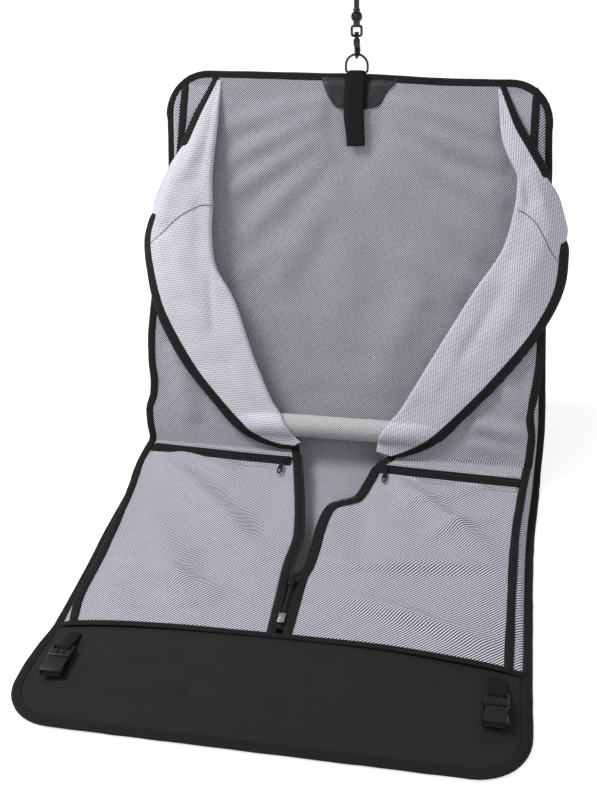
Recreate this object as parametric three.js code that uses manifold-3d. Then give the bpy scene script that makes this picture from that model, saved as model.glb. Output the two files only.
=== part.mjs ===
// An opened bi-fold garment bag that hangs by its hook: the upper half leans back, the lower half lies flat.
// Millimetres, +Z up. The origin is the point where the hook bears on its rail.
import * as THREE from "three";
import { mergeVertices } from "three/addons/utils/BufferGeometryUtils.js";
import Module from "manifold-3d";

const manifold = await Module();
manifold.setup();

// The bag as a whole
const BAG_WIDTH = 610;
const UPPER_LENGTH = 573;
const LOWER_LENGTH = 576;
const DEPTH = 36;
const CORNER_RADIUS = 64;
const LEAN_DEGREES = 24.8;
const HANG_HEIGHT = 190;
const GAP = 0.3;

// Cloth and tape thicknesses
const SHELL_THICKNESS = 2.4;
const LINING_THICKNESS = 1.2;
const CLOTH_THICKNESS = 1.6;
const GUSSET_THICKNESS = 1.2;
const WEBBING_THICKNESS = 1.8;

// Bindings
const OUTER_BINDING_WIDTH = 12;
const OUTER_BINDING_THICKNESS = 5;
const INNER_BINDING_WIDTH = 11;
const INNER_BINDING_THICKNESS = 4;
const INNER_BINDING_INSET = 31;
const INNER_BINDING_START = 13;
const FLAP_BINDING_WIDTH = 11;
const FLAP_BINDING_THICKNESS = 3;
const BOTTOM_SEAM_PLACE = 412;
const BOTTOM_SEAM_WIDTH = 7;
const BOTTOM_SEAM_THICKNESS = 3.4;

// Height of the front cloth over the shell, as [place share, depth share]
const UPPER_HEIGHT_SHARES = [
  [0, 0.21],
  [0.07, 0.27],
  [0.14, 0.38],
  [0.26, 0.58],
  [0.45, 0.7],
  [0.6, 0.78],
  [0.8, 0.84],
  [1, 0.86],
];
const LOWER_CENTRE_SHARES = [
  [0, 0.86],
  [0.09, 0.86],
  [0.2, 0.8],
  [0.35, 0.73],
  [0.5, 0.68],
  [1, 0.68],
];
const LOWER_SIDE_SHARES = [
  [0, 0.86],
  [0.09, 0.86],
  [0.2, 0.78],
  [0.35, 0.66],
  [0.52, 0.45],
  [0.72, 0.25],
  [1, 0.2],
];
const SIDE_DROP_POWER = 3;

// Stations along each half, as shares of its length
const UPPER_END_SHARES = [0.014, 0.996];
const HUMP_STATION_SHARES = [0.902, 0.914, 0.925, 0.937, 0.949, 0.96];
const LOWER_STATION_SHARES = [
  0.004, 0.035, 0.07, 0.1, 0.14, 0.17, 0.21, 0.32, 0.425, 0.49, 0.6, 0.705,
];
const PANEL_COLUMNS = 7;

// Folded-back flaps: crease and free edge, as [half-width share, upper length share]
const LEFT_CREASE_SHARES = [
  [0.672, 0.03],
  [0.675, 0.14],
  [0.682, 0.23],
  [0.685, 0.33],
  [0.679, 0.445],
  [0.672, 0.52],
  [0.597, 0.597],
  [0.508, 0.684],
  [0.413, 0.796],
  [0.341, 0.873],
];
const LEFT_EDGE_SHARES = [
  [0.702, 0.01],
  [0.79, 0.1],
  [0.88, 0.2],
  [0.985, 0.295],
  [1.05, 0.375],
  [1.09, 0.445],
  [1.05, 0.54],
  [0.97, 0.65],
  [0.748, 0.77],
  [0.584, 0.869],
];
const LEFT_FOOT_CREASE_SHARES = [
  [0.338, 0.877],
  [0.29, 0.921],
  [0.268, 0.937],
  [0.246, 0.953],
  [0.222, 0.972],
];
const LEFT_FOOT_EDGE_SHARES = [
  [0.578, 0.874],
  [0.498, 0.915],
  [0.47, 0.937],
  [0.42, 0.965],
  [0.25, 0.99],
];
const RIGHT_CREASE_SHARES = [
  [0.69, 0.03],
  [0.734, 0.13],
  [0.78, 0.206],
  [0.826, 0.262],
  [0.826, 0.34],
  [0.774, 0.445],
  [0.682, 0.538],
  [0.557, 0.66],
  [0.439, 0.768],
  [0.325, 0.876],
];
const RIGHT_EDGE_SHARES = [
  [0.715, 0.01],
  [0.82, 0.1],
  [0.9, 0.165],
  [0.985, 0.26],
  [1.055, 0.34],
  [1.095, 0.43],
  [1.07, 0.555],
  [0.95, 0.672],
  [0.774, 0.78],
  [0.623, 0.868],
];
const RIGHT_FOOT_CREASE_SHARES = [
  [0.322, 0.88],
  [0.27, 0.921],
  [0.255, 0.937],
  [0.24, 0.953],
  [0.225, 0.972],
];
const RIGHT_FOOT_EDGE_SHARES = [
  [0.615, 0.873],
  [0.51, 0.915],
  [0.47, 0.937],
  [0.42, 0.965],
  [0.26, 0.99],
];
const FREE_CORNER_STATION = 5;
const FLAP_LIFT = 4.4;
const FLAP_TIP_SHARE = 0.4;
const FOOT_LIFT = 7.2;
const CREASE_LIFT = 6;
const SIDE_SLOPE_START = BAG_WIDTH / 2 - OUTER_BINDING_THICKNESS;
const OVERHANG_SLOPE = 0.9;
const FLAP_COLUMNS = 8;

// Roll across the fold
const BOLSTER_RADIUS = 17;
const BOLSTER_HALF_LENGTH = 128;
const BOLSTER_FROM_FOLD = 36;
const BOLSTER_PLACE = UPPER_LENGTH - BOLSTER_FROM_FOLD;
const BOLSTER_CLEARANCE = 2.4;
const BOLSTER_FADE = 60;
const BOLSTER_END_SHARES = [
  [0, 1],
  [0.5, 0.99],
  [0.86, 0.93],
  [0.95, 0.75],
  [1, 0.45],
];
const END_STRAP_WIDTH = 20;
const END_STRAP_END = 288;

// Hanging hardware, heights over the top edge
const RING_WIRE = 3.6;
const RING_WIDTH = 37;
const RING_BOTTOM = 8;
const RING_TOP = 39;
const RING_CORNER = 5;
const LOOP_WIDTH = 24;
const LOOP_LEG = 25;
const PATCH_HALF_WIDTH = 52;
const PATCH_LENGTH = 44;
const PATCH_THICKNESS = 1.5;
const PATCH_SHARES = [
  [-1, 0],
  [-0.86, 0.34],
  [-0.62, 0.62],
  [-0.3, 0.98],
  [0.3, 0.98],
  [0.52, 0.8],
  [0.68, 0.52],
  [0.88, 0.22],
  [1, 0],
];
const STRAP_WIDTH = 28;
const STRAP_TOP = -6;
const STRAP_END = 103;
const STRAP_THICKNESS = 2.2;
const SNAP_THICKNESS = 6.4;
const SNAP_WIDTH = 11;
const SNAP_EYE_RADIUS = 6;
const SNAP_NOSE = 28;
const SNAP_SHOULDER = 61;
const SNAP_SHOULDER_WIDTH = 8;
const GATE_WIDTH = 4;
const GATE_THICKNESS = 2.6;
const STUD_RADIUS = 2.3;
const STUD_HEAD_RADIUS = 4;
const STUD_HEAD_HEIGHT = 2.4;
const YOKE_WIDTH = 18.5;
const YOKE_BOTTOM = 62;
const YOKE_TOP = 81;
const YOKE_DEPTH = 9;
const YOKE_WINDOW_WIDTH = 11;
const YOKE_WINDOW_BOTTOM = 66.5;
const YOKE_WINDOW_TOP = 75;
const EAR_THICKNESS = 2;
const EAR_WIDTH = 9;
const EYE_RADIUS = 8.5;
const EYE_CLEARANCE = 2.5;
const EYE_HEIGHT = YOKE_TOP + EYE_CLEARANCE + EYE_RADIUS;
const EYE_THICKNESS = 4.4;
const PIN_RADIUS = 2;
const ROD_DIAMETER = 8;
const HOOK_RADIUS = 24;
const HOOK_NECK_LENGTH = 28;
const HOOK_NECK = EYE_HEIGHT + HOOK_NECK_LENGTH;
const ROUND_SIDES = 20;
const WIRE_SIDES = 12;
const HOOK_STEPS = 30;

// Zips
const ZIP_CENTRE = -6;
const CHAIN_WIDTH = 7;
const CHAIN_THICKNESS = 3;
const CHAIN_START = 316;
const CHAIN_END = 398;
const TAPE_THICKNESS = 1.8;
const LEFT_TAPE_OUTER_SHARES = [
  [0.004, 0.203],
  [0.035, 0.197],
  [0.1, 0.164],
  [0.17, 0.118],
  [0.32, 0.1],
  [0.49, 0.094],
  [0.705, 0.08],
];
const LEFT_TAPE_INNER_SHARES = [
  [0.004, 0.17],
  [0.035, 0.164],
  [0.1, 0.131],
  [0.17, 0.085],
  [0.32, 0.068],
  [0.425, 0.064],
  [0.49, 0.033],
  [0.705, 0.033],
];
const RIGHT_TAPE_OUTER_SHARES = [
  [0.004, 0.252],
  [0.07, 0.24],
  [0.1, 0.226],
  [0.14, 0.172],
  [0.17, 0.132],
  [0.21, 0.085],
  [0.32, 0.065],
  [0.425, 0.06],
  [0.49, 0.05],
  [0.705, 0.045],
];
const RIGHT_TAPE_INNER_SHARES = [
  [0.004, 0.216],
  [0.07, 0.203],
  [0.1, 0.188],
  [0.14, 0.128],
  [0.17, 0.085],
  [0.21, 0.04],
  [0.32, 0.03],
  [0.425, 0.026],
  [0.49, -0.0065],
  [0.705, -0.0065],
];
const SLIDER_LENGTH = 22;
const SLIDER_WIDTH = 11;
const SLIDER_HEIGHT = 4.6;
const CENTRE_SLIDER_PLACE = 298;
const LOWER_SLIDER_PLACE = 381;
const LOWER_SLIDER_LENGTH = 20;
const PULL_LENGTH = 27;
const PULL_WIDTH = 8;
const PULL_THICKNESS = 2;
const POCKET_TAPE_WIDTH = 18;
const POCKET_OUTER_END = 262;
const LEFT_POCKET_INNER_END = 66;
const RIGHT_POCKET_INNER_END = 80;
const LEFT_POCKET_OUTER_PLACE = 20;
const LEFT_POCKET_INNER_PLACE = 29;
const RIGHT_POCKET_OUTER_PLACE = 41;
const RIGHT_POCKET_INNER_PLACE = 31;
const POCKET_SLIDER_LENGTH = 13;
const POCKET_SLIDER_WIDTH = 9;
const POCKET_SLIDER_HEIGHT = 4;
const POCKET_PULL_LENGTH = 38;

// Buckles on the bottom panel
const BUCKLE_PLACE_ACROSS = 264;
const BUCKLE_WEBBING_WIDTH = 20;
const BUCKLE_WEBBING_START = 438;
const BUCKLE_WEBBING_END = 464;
const BUCKLE_WIDTH = 29;
const BUCKLE_LENGTH = 46;
const BUCKLE_THICKNESS = 9.5;
const BUCKLE_WALL = 1.8;
const BUCKLE_ARM = 2.4;
const BUCKLE_BAR = 4;
const BUCKLE_SLOT = 6;

// Shares of a size, powers of a curve and numbers of steps.
const WELD = 1;
const BOTTOM_ACROSS_POWER = 2.5;
const BOTTOM_DOWN_POWER = 1.5;
const FLAP_START_SHARE = 0.02;
const FOOT_START_SHARE = -0.02;
const BINDING_START_SHARE = 0.04;
const FLAP_LIFT_SHARE = 0.5;
const STRAP_BEND_SHARES = [0, 0.3, 0.65, 1];
const STRAP_RISES = [0, 0, GAP, 0];
const CREASE_ROUND_SHARES = [[0.5, 0.17], [0.62, 0.5], [0.5, 0.83]];
const LOOP_OVERLAP_ANGLE = 0.1;
const MOUTH_HEIGHT_SHARE = 1.5;
const MOUTH_INSIDE_SHARE = 0.6;
const HOOK_BEND_SHARES = [1.05, -0.15];
const SLIDER_OUTLINE_SHARES = [[-1, 0], [1, 0], [0.8, 0.7], [0.3, 1], [-0.3, 1], [-0.8, 0.7]];
const PULL_OVERHANG_SHARE = 0.33;
const RIB_COUNT = 5;
const RIB_RISE_SHARE = 0.3;
const OUTLINE_STEPS = 10;
const ROUND_STEPS = 12;
const LOOP_STEPS = 9;
const TURN_STEPS = 9;
const HOOK_BEND_STEPS = 15;
const RING_ARC_STEPS = 17;
const RING_CORNER_STEPS = 5;
const ROD_STEPS = 6;
const GUSSET_STATIONS = 10;
const BINDING_STATIONS = 14;
const PANEL_STATIONS = 19;
const BOTTOM_STATIONS = 10;
const MERGE_DISTANCE = 1e-4;

// Derived places
const HALF_WIDTH = BAG_WIDTH / 2;
const LEAN = THREE.MathUtils.degToRad(LEAN_DEGREES);
const LINING_TOP = SHELL_THICKNESS + GAP + LINING_THICKNESS;
const INNER_BINDING_PLACE = HALF_WIDTH - INNER_BINDING_INSET;
const PANEL_OUTER_EDGE = INNER_BINDING_PLACE - INNER_BINDING_WIDTH / 2 - GAP;
const BOLSTER_HEIGHT = LINING_TOP + GAP + BOLSTER_RADIUS;
const PANEL_REST_HEIGHT = OUTER_BINDING_THICKNESS + GAP;

function mix(a, b, share) {
  return a + (b - a) * share;
}

// Value of a table of [place, value] rows, in straight steps.
function lookUp(table, place) {
  const last = table.length - 1;
  if (place <= table[0][0]) return table[0][1];
  if (place >= table[last][0]) return table[last][1];
  const next = table.findIndex((row) => row[0] > place);
  const [before, after] = [table[next - 1], table[next]];
  return mix(before[1], after[1], (place - before[0]) / (after[0] - before[0]));
}

function evenShares(count) {
  return Array.from({ length: count }, (_, i) => i / (count - 1));
}

// Half the outline's width where the rounded end of a half is near.
function outlineHalfWidth(fromEnd) {
  if (fromEnd >= CORNER_RADIUS) return HALF_WIDTH;
  const rise = CORNER_RADIUS - fromEnd;
  return HALF_WIDTH - CORNER_RADIUS + Math.sqrt(CORNER_RADIUS ** 2 - rise ** 2);
}

// Height of the cloth that the roll pushes up.
function bolsterLift(across, along) {
  const reach = BOLSTER_RADIUS + BOLSTER_CLEARANCE;
  const offset = Math.abs(along - BOLSTER_PLACE);
  if (offset >= reach) return 0;
  const past = Math.max(0, Math.abs(across) - BOLSTER_HALF_LENGTH);
  const fade = Math.max(0, 1 - past / BOLSTER_FADE);
  return (BOLSTER_HEIGHT + Math.sqrt(reach ** 2 - offset ** 2)) * fade;
}

function upperHeight(across, along) {
  const base = DEPTH * lookUp(UPPER_HEIGHT_SHARES, along / UPPER_LENGTH);
  return Math.max(base, bolsterLift(across, along));
}

function lowerHeight(across, along) {
  const share = along / LOWER_LENGTH;
  const centre = DEPTH * lookUp(LOWER_CENTRE_SHARES, share);
  const side = DEPTH * lookUp(LOWER_SIDE_SHARES, share);
  const out = Math.min(1, Math.abs(across) / INNER_BINDING_PLACE);
  return mix(centre, side, out ** SIDE_DROP_POWER);
}

// Height of what the flap lies on. It falls away past the side seam.
function flapHeight(across, along) {
  const past = Math.max(0, Math.abs(across) - SIDE_SLOPE_START);
  return upperHeight(across, along) - past * OVERHANG_SLOPE;
}

// A table of points with the middle of each step added.
function denser(table) {
  return table.flatMap((point, i) => {
    if (i === table.length - 1) return [point];
    return [point, point.map((value, k) => mix(value, table[i + 1][k], 0.5))];
  });
}

function bottomPanelHalfWidth(along) {
  return outlineHalfWidth(LOWER_LENGTH - along) - OUTER_BINDING_WIDTH / 2;
}

function bottomPanelHeight(across, along) {
  const start = BOTTOM_SEAM_PLACE + BOTTOM_SEAM_WIDTH / 2;
  const end = LOWER_LENGTH - OUTER_BINDING_WIDTH / 2;
  const down = Math.min(1, Math.max(0, (along - start) / (end - start)));
  const out = Math.min(1, Math.abs(across) / bottomPanelHalfWidth(along));
  const edge = PANEL_REST_HEIGHT + CLOTH_THICKNESS / 2;
  const rise = lowerHeight(0, start) - edge;
  return edge + rise * (1 - out ** BOTTOM_ACROSS_POWER) * (1 - down ** BOTTOM_DOWN_POWER);
}

// Closed geometry from vertices and triangles, turned so that its faces look out.
function closedGeometry(points, triangles) {
  const volume = triangles.reduce((sum, [a, b, c]) => {
    const cross = new THREE.Vector3().crossVectors(points[b], points[c]);
    return sum + points[a].dot(cross);
  }, 0);
  const ordered = volume < 0 ? triangles.map(([a, b, c]) => [a, c, b]) : triangles;
  const geometry = new THREE.BufferGeometry().setFromPoints(points);
  geometry.setIndex(ordered.flat());
  geometry.computeVertexNormals();
  return geometry;
}

function gridNormal(rows, i, j) {
  const [up, down] = [rows[Math.max(0, i - 1)], rows[Math.min(rows.length - 1, i + 1)]];
  const row = rows[i];
  const along = new THREE.Vector3().subVectors(down[j], up[j]);
  const [left, right] = [row[Math.max(0, j - 1)], row[Math.min(row.length - 1, j + 1)]];
  const across = new THREE.Vector3().subVectors(right, left);
  return along.cross(across).normalize();
}

// A sheet of even thickness about a grid of middle points.
function sheet(rows, thickness) {
  const [height, width] = [rows.length, rows[0].length];
  const points = [];
  for (const side of [0.5, -0.5]) {
    rows.forEach((row, i) =>
      row.forEach((point, j) => {
        const normal = gridNormal(rows, i, j);
        points.push(point.clone().addScaledVector(normal, side * thickness));
      }),
    );
  }
  const back = height * width;
  const at = (i, j) => i * width + j;
  const triangles = [];
  const wall = (a, b) => triangles.push([a, b, a + back], [b, b + back, a + back]);
  for (let i = 0; i < height - 1; i += 1) {
    for (let j = 0; j < width - 1; j += 1) {
      const [a, b, c, d] = [at(i, j), at(i, j + 1), at(i + 1, j), at(i + 1, j + 1)];
      triangles.push([a, b, c], [b, d, c]);
      triangles.push([a + back, c + back, b + back], [b + back, c + back, d + back]);
    }
  }
  for (let i = 0; i < height - 1; i += 1) {
    wall(at(i, 0), at(i + 1, 0));
    wall(at(i + 1, width - 1), at(i, width - 1));
  }
  for (let j = 0; j < width - 1; j += 1) {
    wall(at(0, j + 1), at(0, j));
    wall(at(height - 1, j), at(height - 1, j + 1));
  }
  return closedGeometry(points, triangles);
}

// A band that follows points in the Y-Z plane and is as wide as asked along X.
function ribbon(path, width, thickness, centre = 0) {
  const side = (share) => path.map(([y, z]) => new THREE.Vector3(centre + share * width, y, z));
  return sheet([side(-0.5), side(0.5)], thickness);
}

// A closed loop of wire in the X-Z plane.
function wireLoop(path, radius) {
  const count = path.length;
  const points = [];
  path.forEach((point, i) => {
    const [before, after] = [path[(i + count - 1) % count], path[(i + 1) % count]];
    const ahead = new THREE.Vector2().subVectors(after, before).normalize();
    for (let k = 0; k < WIRE_SIDES; k += 1) {
      const angle = (2 * Math.PI * k) / WIRE_SIDES;
      const out = radius * Math.cos(angle);
      points.push(
        new THREE.Vector3(point.x + out * ahead.y, radius * Math.sin(angle), point.y - out * ahead.x),
      );
    }
  });
  const triangles = [];
  for (let i = 0; i < count; i += 1) {
    for (let k = 0; k < WIRE_SIDES; k += 1) {
      const [n, m] = [(i + 1) % count, (k + 1) % WIRE_SIDES];
      const [a, b, c, d] = [
        i * WIRE_SIDES + k,
        i * WIRE_SIDES + m,
        n * WIRE_SIDES + k,
        n * WIRE_SIDES + m,
      ];
      triangles.push([a, b, c], [b, d, c]);
    }
  }
  return closedGeometry(points, triangles);
}

function extruded(shape, depth, curveSegments) {
  return new THREE.ExtrudeGeometry(shape, { depth, bevelEnabled: false, curveSegments });
}

function slab(shape, thickness, bottom = 0) {
  return extruded(shape, thickness, OUTLINE_STEPS).translate(0, 0, bottom);
}

// A shape drawn in the Y-Z plane and extruded along X about the middle.
function sideways(shape, width, segments = ROUND_STEPS) {
  const geometry = extruded(shape, width, segments);
  geometry.translate(0, 0, -width / 2);
  geometry.rotateX(Math.PI / 2);
  return geometry.rotateZ(Math.PI / 2);
}

function block(width, length, height, x = 0, y = 0, z = 0) {
  return new THREE.BoxGeometry(width, length, height).translate(x, y, z);
}

// A round stud along Z between two heights.
function stud(radius, bottom, top) {
  const bar = new THREE.CylinderGeometry(radius, radius, top - bottom, ROUND_SIDES);
  return bar.rotateX(Math.PI / 2).translate(0, 0, (bottom + top) / 2);
}

// A round bar along Y.
function rod(radius, length, x, y, z) {
  return new THREE.CylinderGeometry(radius, radius, length, ROUND_SIDES).translate(x, y, z);
}

function toSolid(geometry) {
  const plain = geometry.clone();
  plain.deleteAttribute("normal");
  plain.deleteAttribute("uv");
  const merged = mergeVertices(plain, MERGE_DISTANCE);
  return new manifold.Manifold(
    new manifold.Mesh({
      numProp: 3,
      vertProperties: merged.attributes.position.array,
      triVerts: new Uint32Array(merged.index.array),
    }),
  );
}

function toGeometry(solid) {
  const mesh = solid.getMesh();
  const geometry = new THREE.BufferGeometry();
  geometry.setAttribute("position", new THREE.BufferAttribute(mesh.vertProperties, 3));
  geometry.setIndex(new THREE.BufferAttribute(mesh.triVerts, 1));
  geometry.computeVertexNormals();
  return geometry;
}

// One solid from some geometries, less others.
function carve(added, removed = []) {
  const whole = added.map(toSolid).reduce((a, b) => a.add(b));
  return toGeometry(removed.map(toSolid).reduce((a, b) => a.subtract(b), whole));
}

function material(color, roughness, metalness = 0) {
  return new THREE.MeshStandardMaterial({ color, roughness, metalness });
}

const MATERIALS = {
  shell: material(0x2b2a2e, 0.8),
  lining: material(0xb4b2bd, 0.9),
  cloth: material(0xbcbac6, 0.85),
  binding: material(0x242226, 0.8),
  webbing: material(0x1f1e21, 0.85),
  patch: material(0x4b4852, 0.45),
  metal: material(0x3c3c3e, 0.35, 0.9),
  bright: material(0xb8b8b4, 0.3, 0.9),
  plastic: material(0x1c1c1e, 0.5),
  padding: material(0xbebcba, 0.9),
};

const bag = new THREE.Group();
const upper = new THREE.Group();
upper.position.set(0, 0, -HANG_HEIGHT);
upper.rotation.x = Math.PI / 2 - LEAN;
const lower = new THREE.Group();
lower.position.set(
  0,
  -Math.sin(LEAN) * UPPER_LENGTH - Math.cos(LEAN) * DEPTH,
  -HANG_HEIGHT - Math.cos(LEAN) * UPPER_LENGTH + Math.sin(LEAN) * DEPTH - DEPTH,
);
const fold = new THREE.Group();
fold.position.copy(lower.position).add(new THREE.Vector3(0, 0, DEPTH));
const hardware = new THREE.Group();
hardware.position.set(0, 0, -HANG_HEIGHT);
bag.add(upper, lower, fold, hardware);

function place(group, name, geometry, finish) {
  const mesh = new THREE.Mesh(geometry, finish);
  mesh.name = name;
  group.add(mesh);
}

// Outline of a half with its two far corners rounded. The near side is square.
function halfOutline(halfWidth, near, far, radius) {
  const turn = Math.sign(far - near);
  const shape = new THREE.Shape();
  shape.moveTo(-halfWidth, near);
  shape.lineTo(-halfWidth, far - turn * radius);
  shape.absarc(-halfWidth + radius, far - turn * radius, radius, Math.PI, (turn * Math.PI) / 2, turn > 0);
  shape.absarc(halfWidth - radius, far - turn * radius, radius, (turn * Math.PI) / 2, 0, turn > 0);
  shape.lineTo(halfWidth, near);
  return shape;
}

function bindingOutline(near, far) {
  const turn = Math.sign(far - near);
  const shape = halfOutline(HALF_WIDTH, near, far, CORNER_RADIUS);
  const inside = HALF_WIDTH - OUTER_BINDING_WIDTH;
  const radius = CORNER_RADIUS - OUTER_BINDING_WIDTH;
  const middle = far - turn * CORNER_RADIUS;
  shape.lineTo(inside, near);
  shape.lineTo(inside, middle);
  shape.absarc(inside - radius, middle, radius, 0, (turn * Math.PI) / 2, turn < 0);
  shape.absarc(radius - inside, middle, radius, (turn * Math.PI) / 2, turn * Math.PI, turn < 0);
  shape.lineTo(-inside, near);
  return shape;
}

function addBack(group, suffix, near, far) {
  const turn = Math.sign(far - near);
  const inset = OUTER_BINDING_WIDTH + GAP;
  const outline = halfOutline(HALF_WIDTH - inset, near, far - turn * inset, CORNER_RADIUS - inset);
  place(group, "back_shell_" + suffix, slab(outline, SHELL_THICKNESS), MATERIALS.shell);
  place(
    group,
    "back_lining_" + suffix,
    slab(outline, LINING_THICKNESS, SHELL_THICKNESS + GAP),
    MATERIALS.lining,
  );
  const binding = slab(bindingOutline(near, far), OUTER_BINDING_THICKNESS);
  place(group, "binding_" + suffix, binding, MATERIALS.binding);
}

// A strip along a half between two distances from the middle, at a height that follows the cloth.
function sideStrip(side, outer, inner, outerHeight, innerHeight, places, thickness) {
  const row = (out, height) => places.map((v) => new THREE.Vector3(side * out(v), -v, height(v)));
  return sheet([row(outer, outerHeight), row(inner, innerHeight)], thickness);
}

function stations(start, end, count) {
  return evenShares(count).map((share) => mix(start, end, share));
}

function addSides(group, suffix, height, start, end, nearEnd) {
  for (const [name, side] of [
    ["left", -1],
    ["right", 1],
  ]) {
    const seam = (v) => height(INNER_BINDING_PLACE, v);
    const gussetPlaces = stations(Math.max(start, nearEnd), end, GUSSET_STATIONS);
    const edge = OUTER_BINDING_THICKNESS + GAP + GUSSET_THICKNESS / 2;
    const half = INNER_BINDING_WIDTH / 2;
    const outer = (v) => outlineHalfWidth(suffix === "upper" ? v : HALF_WIDTH) - GAP;
    const inner = () => INNER_BINDING_PLACE + half + 2 * GAP + GUSSET_THICKNESS / 2;
    const rest = () => edge + 2 * GAP;
    const gusset = sideStrip(side, outer, inner, rest, seam, gussetPlaces, GUSSET_THICKNESS);
    place(group, `gusset_${suffix}_${name}`, gusset, MATERIALS.cloth);
    const bindingPlaces = stations(start, end, BINDING_STATIONS);
    const binding = sideStrip(
      side,
      () => INNER_BINDING_PLACE + half,
      () => INNER_BINDING_PLACE - half,
      seam,
      seam,
      bindingPlaces,
      INNER_BINDING_THICKNESS,
    );
    place(group, `inner_binding_${suffix}_${name}`, binding, MATERIALS.binding);
  }
}

// Front panel of the upper half, from its side seam to the crease of its flap.
function addUpperPanel(name, side, crease, foot) {
  const rows = [...denser(crease), ...foot].map(([out, along]) => [along, out]);
  const shares = new Set([...UPPER_END_SHARES, ...HUMP_STATION_SHARES, ...rows.map(([along]) => along)]);
  const inner = (v) => HALF_WIDTH * lookUp(rows, v / UPPER_LENGTH);
  const places = [...shares].sort((a, b) => a - b).map((share) => share * UPPER_LENGTH);
  const grid = panelGrid(side, places, inner, upperHeight);
  place(upper, "front_panel_upper_" + name, sheet(grid, CLOTH_THICKNESS), MATERIALS.cloth);
}

function panelGrid(side, places, inner, height) {
  return places.map((v) =>
    evenShares(PANEL_COLUMNS).map((share) => {
      const out = mix(PANEL_OUTER_EDGE, inner(v), share);
      return new THREE.Vector3(side * out, -v, height(out, v));
    }),
  );
}

function flapPoint(side, [crease, edge], share, lift) {
  const out = HALF_WIDTH * mix(crease[0], edge[0], share);
  const along = UPPER_LENGTH * mix(crease[1], edge[1], share);
  return new THREE.Vector3(side * out, -along, flapHeight(out, along) + lift);
}

// Share of the way from crease to edge at which the binding starts.
function bindingShare([crease, edge], gap) {
  const reach = Math.hypot(HALF_WIDTH * (edge[0] - crease[0]), UPPER_LENGTH * (edge[1] - crease[1]));
  return Math.max(FLAP_TIP_SHARE - gap / reach, 1 - (FLAP_BINDING_WIDTH + gap) / reach);
}

function flapLift(share) {
  return mix(CREASE_LIFT, FLAP_LIFT, Math.min(1, share / FLAP_LIFT_SHARE));
}

function flapRows(side, spans, firstShare, lastShare, lift) {
  return spans.map((span) =>
    evenShares(FLAP_COLUMNS).map((step) => {
      const share = mix(firstShare, lastShare(span), step);
      return flapPoint(side, span, share, lift(share));
    }),
  );
}

function addFlap(name, side, crease, edge, footCrease, footEdge) {
  const edges = denser(edge);
  const spans = denser(crease).map((point, i) => [point, edges[i]]);
  const feet = footCrease.map((point, i) => [point, footEdge[i]]);
  const corner = 2 * FREE_CORNER_STATION;
  const clothShare = (span) => bindingShare(span, 3 * GAP);
  const cloth = flapRows(side, spans, FLAP_START_SHARE, clothShare, flapLift);
  place(upper, "flap_" + name, sheet(cloth, CLOTH_THICKNESS), MATERIALS.cloth);
  const edgeRows = (some) =>
    some.map((span) => {
      return [bindingShare(span, 0), 1].map((share) => flapPoint(side, span, share, FLAP_LIFT));
    });
  const top = edgeRows(spans.slice(0, corner + 1));
  const centre = edgeRows(spans.slice(corner));
  centre[0] = centre[0].map((point, j) => point.clone().lerp(centre[1][j], BINDING_START_SHARE));
  place(upper, "flap_top_binding_" + name, sheet(top, FLAP_BINDING_THICKNESS), MATERIALS.binding);
  place(upper, "flap_centre_binding_" + name, sheet(centre, FLAP_BINDING_THICKNESS), MATERIALS.binding);
  place(upper, "flap_crease_" + name, creaseRoll(side, spans, feet), MATERIALS.cloth);
}

// The rolled crease from the front panel up to the flap, with the flap's foot that stays by the fold.
function creaseRoll(side, spans, feet) {
  const outward = 4 * GAP;
  const roll = [...spans, ...feet].map(([crease]) => {
    const [out, along] = [HALF_WIDTH * crease[0], UPPER_LENGTH * crease[1]];
    const bottom = upperHeight(out, along);
    const round = CREASE_ROUND_SHARES.map((pair) => pair.map((share) => share * CREASE_LIFT));
    return [[outward, 0], ...round, [outward, CREASE_LIFT]].map(([inward, rise]) => {
      return new THREE.Vector3(side * (out - inward), -along, bottom + rise);
    });
  });
  const whole = () => 1;
  const foot = flapRows(side, feet, FOOT_START_SHARE, whole, () => FOOT_LIFT);
  return carve([sheet(roll, CLOTH_THICKNESS), sheet(foot, CLOTH_THICKNESS)]);
}

function addUpperHalf() {
  addBack(upper, "upper", -UPPER_LENGTH + GAP / 2, 0);
  addSides(upper, "upper", upperHeight, INNER_BINDING_START, UPPER_LENGTH - GAP, CORNER_RADIUS / 2);
  addUpperPanel("left", -1, LEFT_CREASE_SHARES, LEFT_FOOT_CREASE_SHARES);
  addUpperPanel("right", 1, RIGHT_CREASE_SHARES, RIGHT_FOOT_CREASE_SHARES);
  const leftFoot = [LEFT_FOOT_CREASE_SHARES, LEFT_FOOT_EDGE_SHARES];
  addFlap("left", -1, LEFT_CREASE_SHARES, LEFT_EDGE_SHARES, ...leftFoot);
  const rightFoot = [RIGHT_FOOT_CREASE_SHARES, RIGHT_FOOT_EDGE_SHARES];
  addFlap("right", 1, RIGHT_CREASE_SHARES, RIGHT_EDGE_SHARES, ...rightFoot);
}

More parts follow.
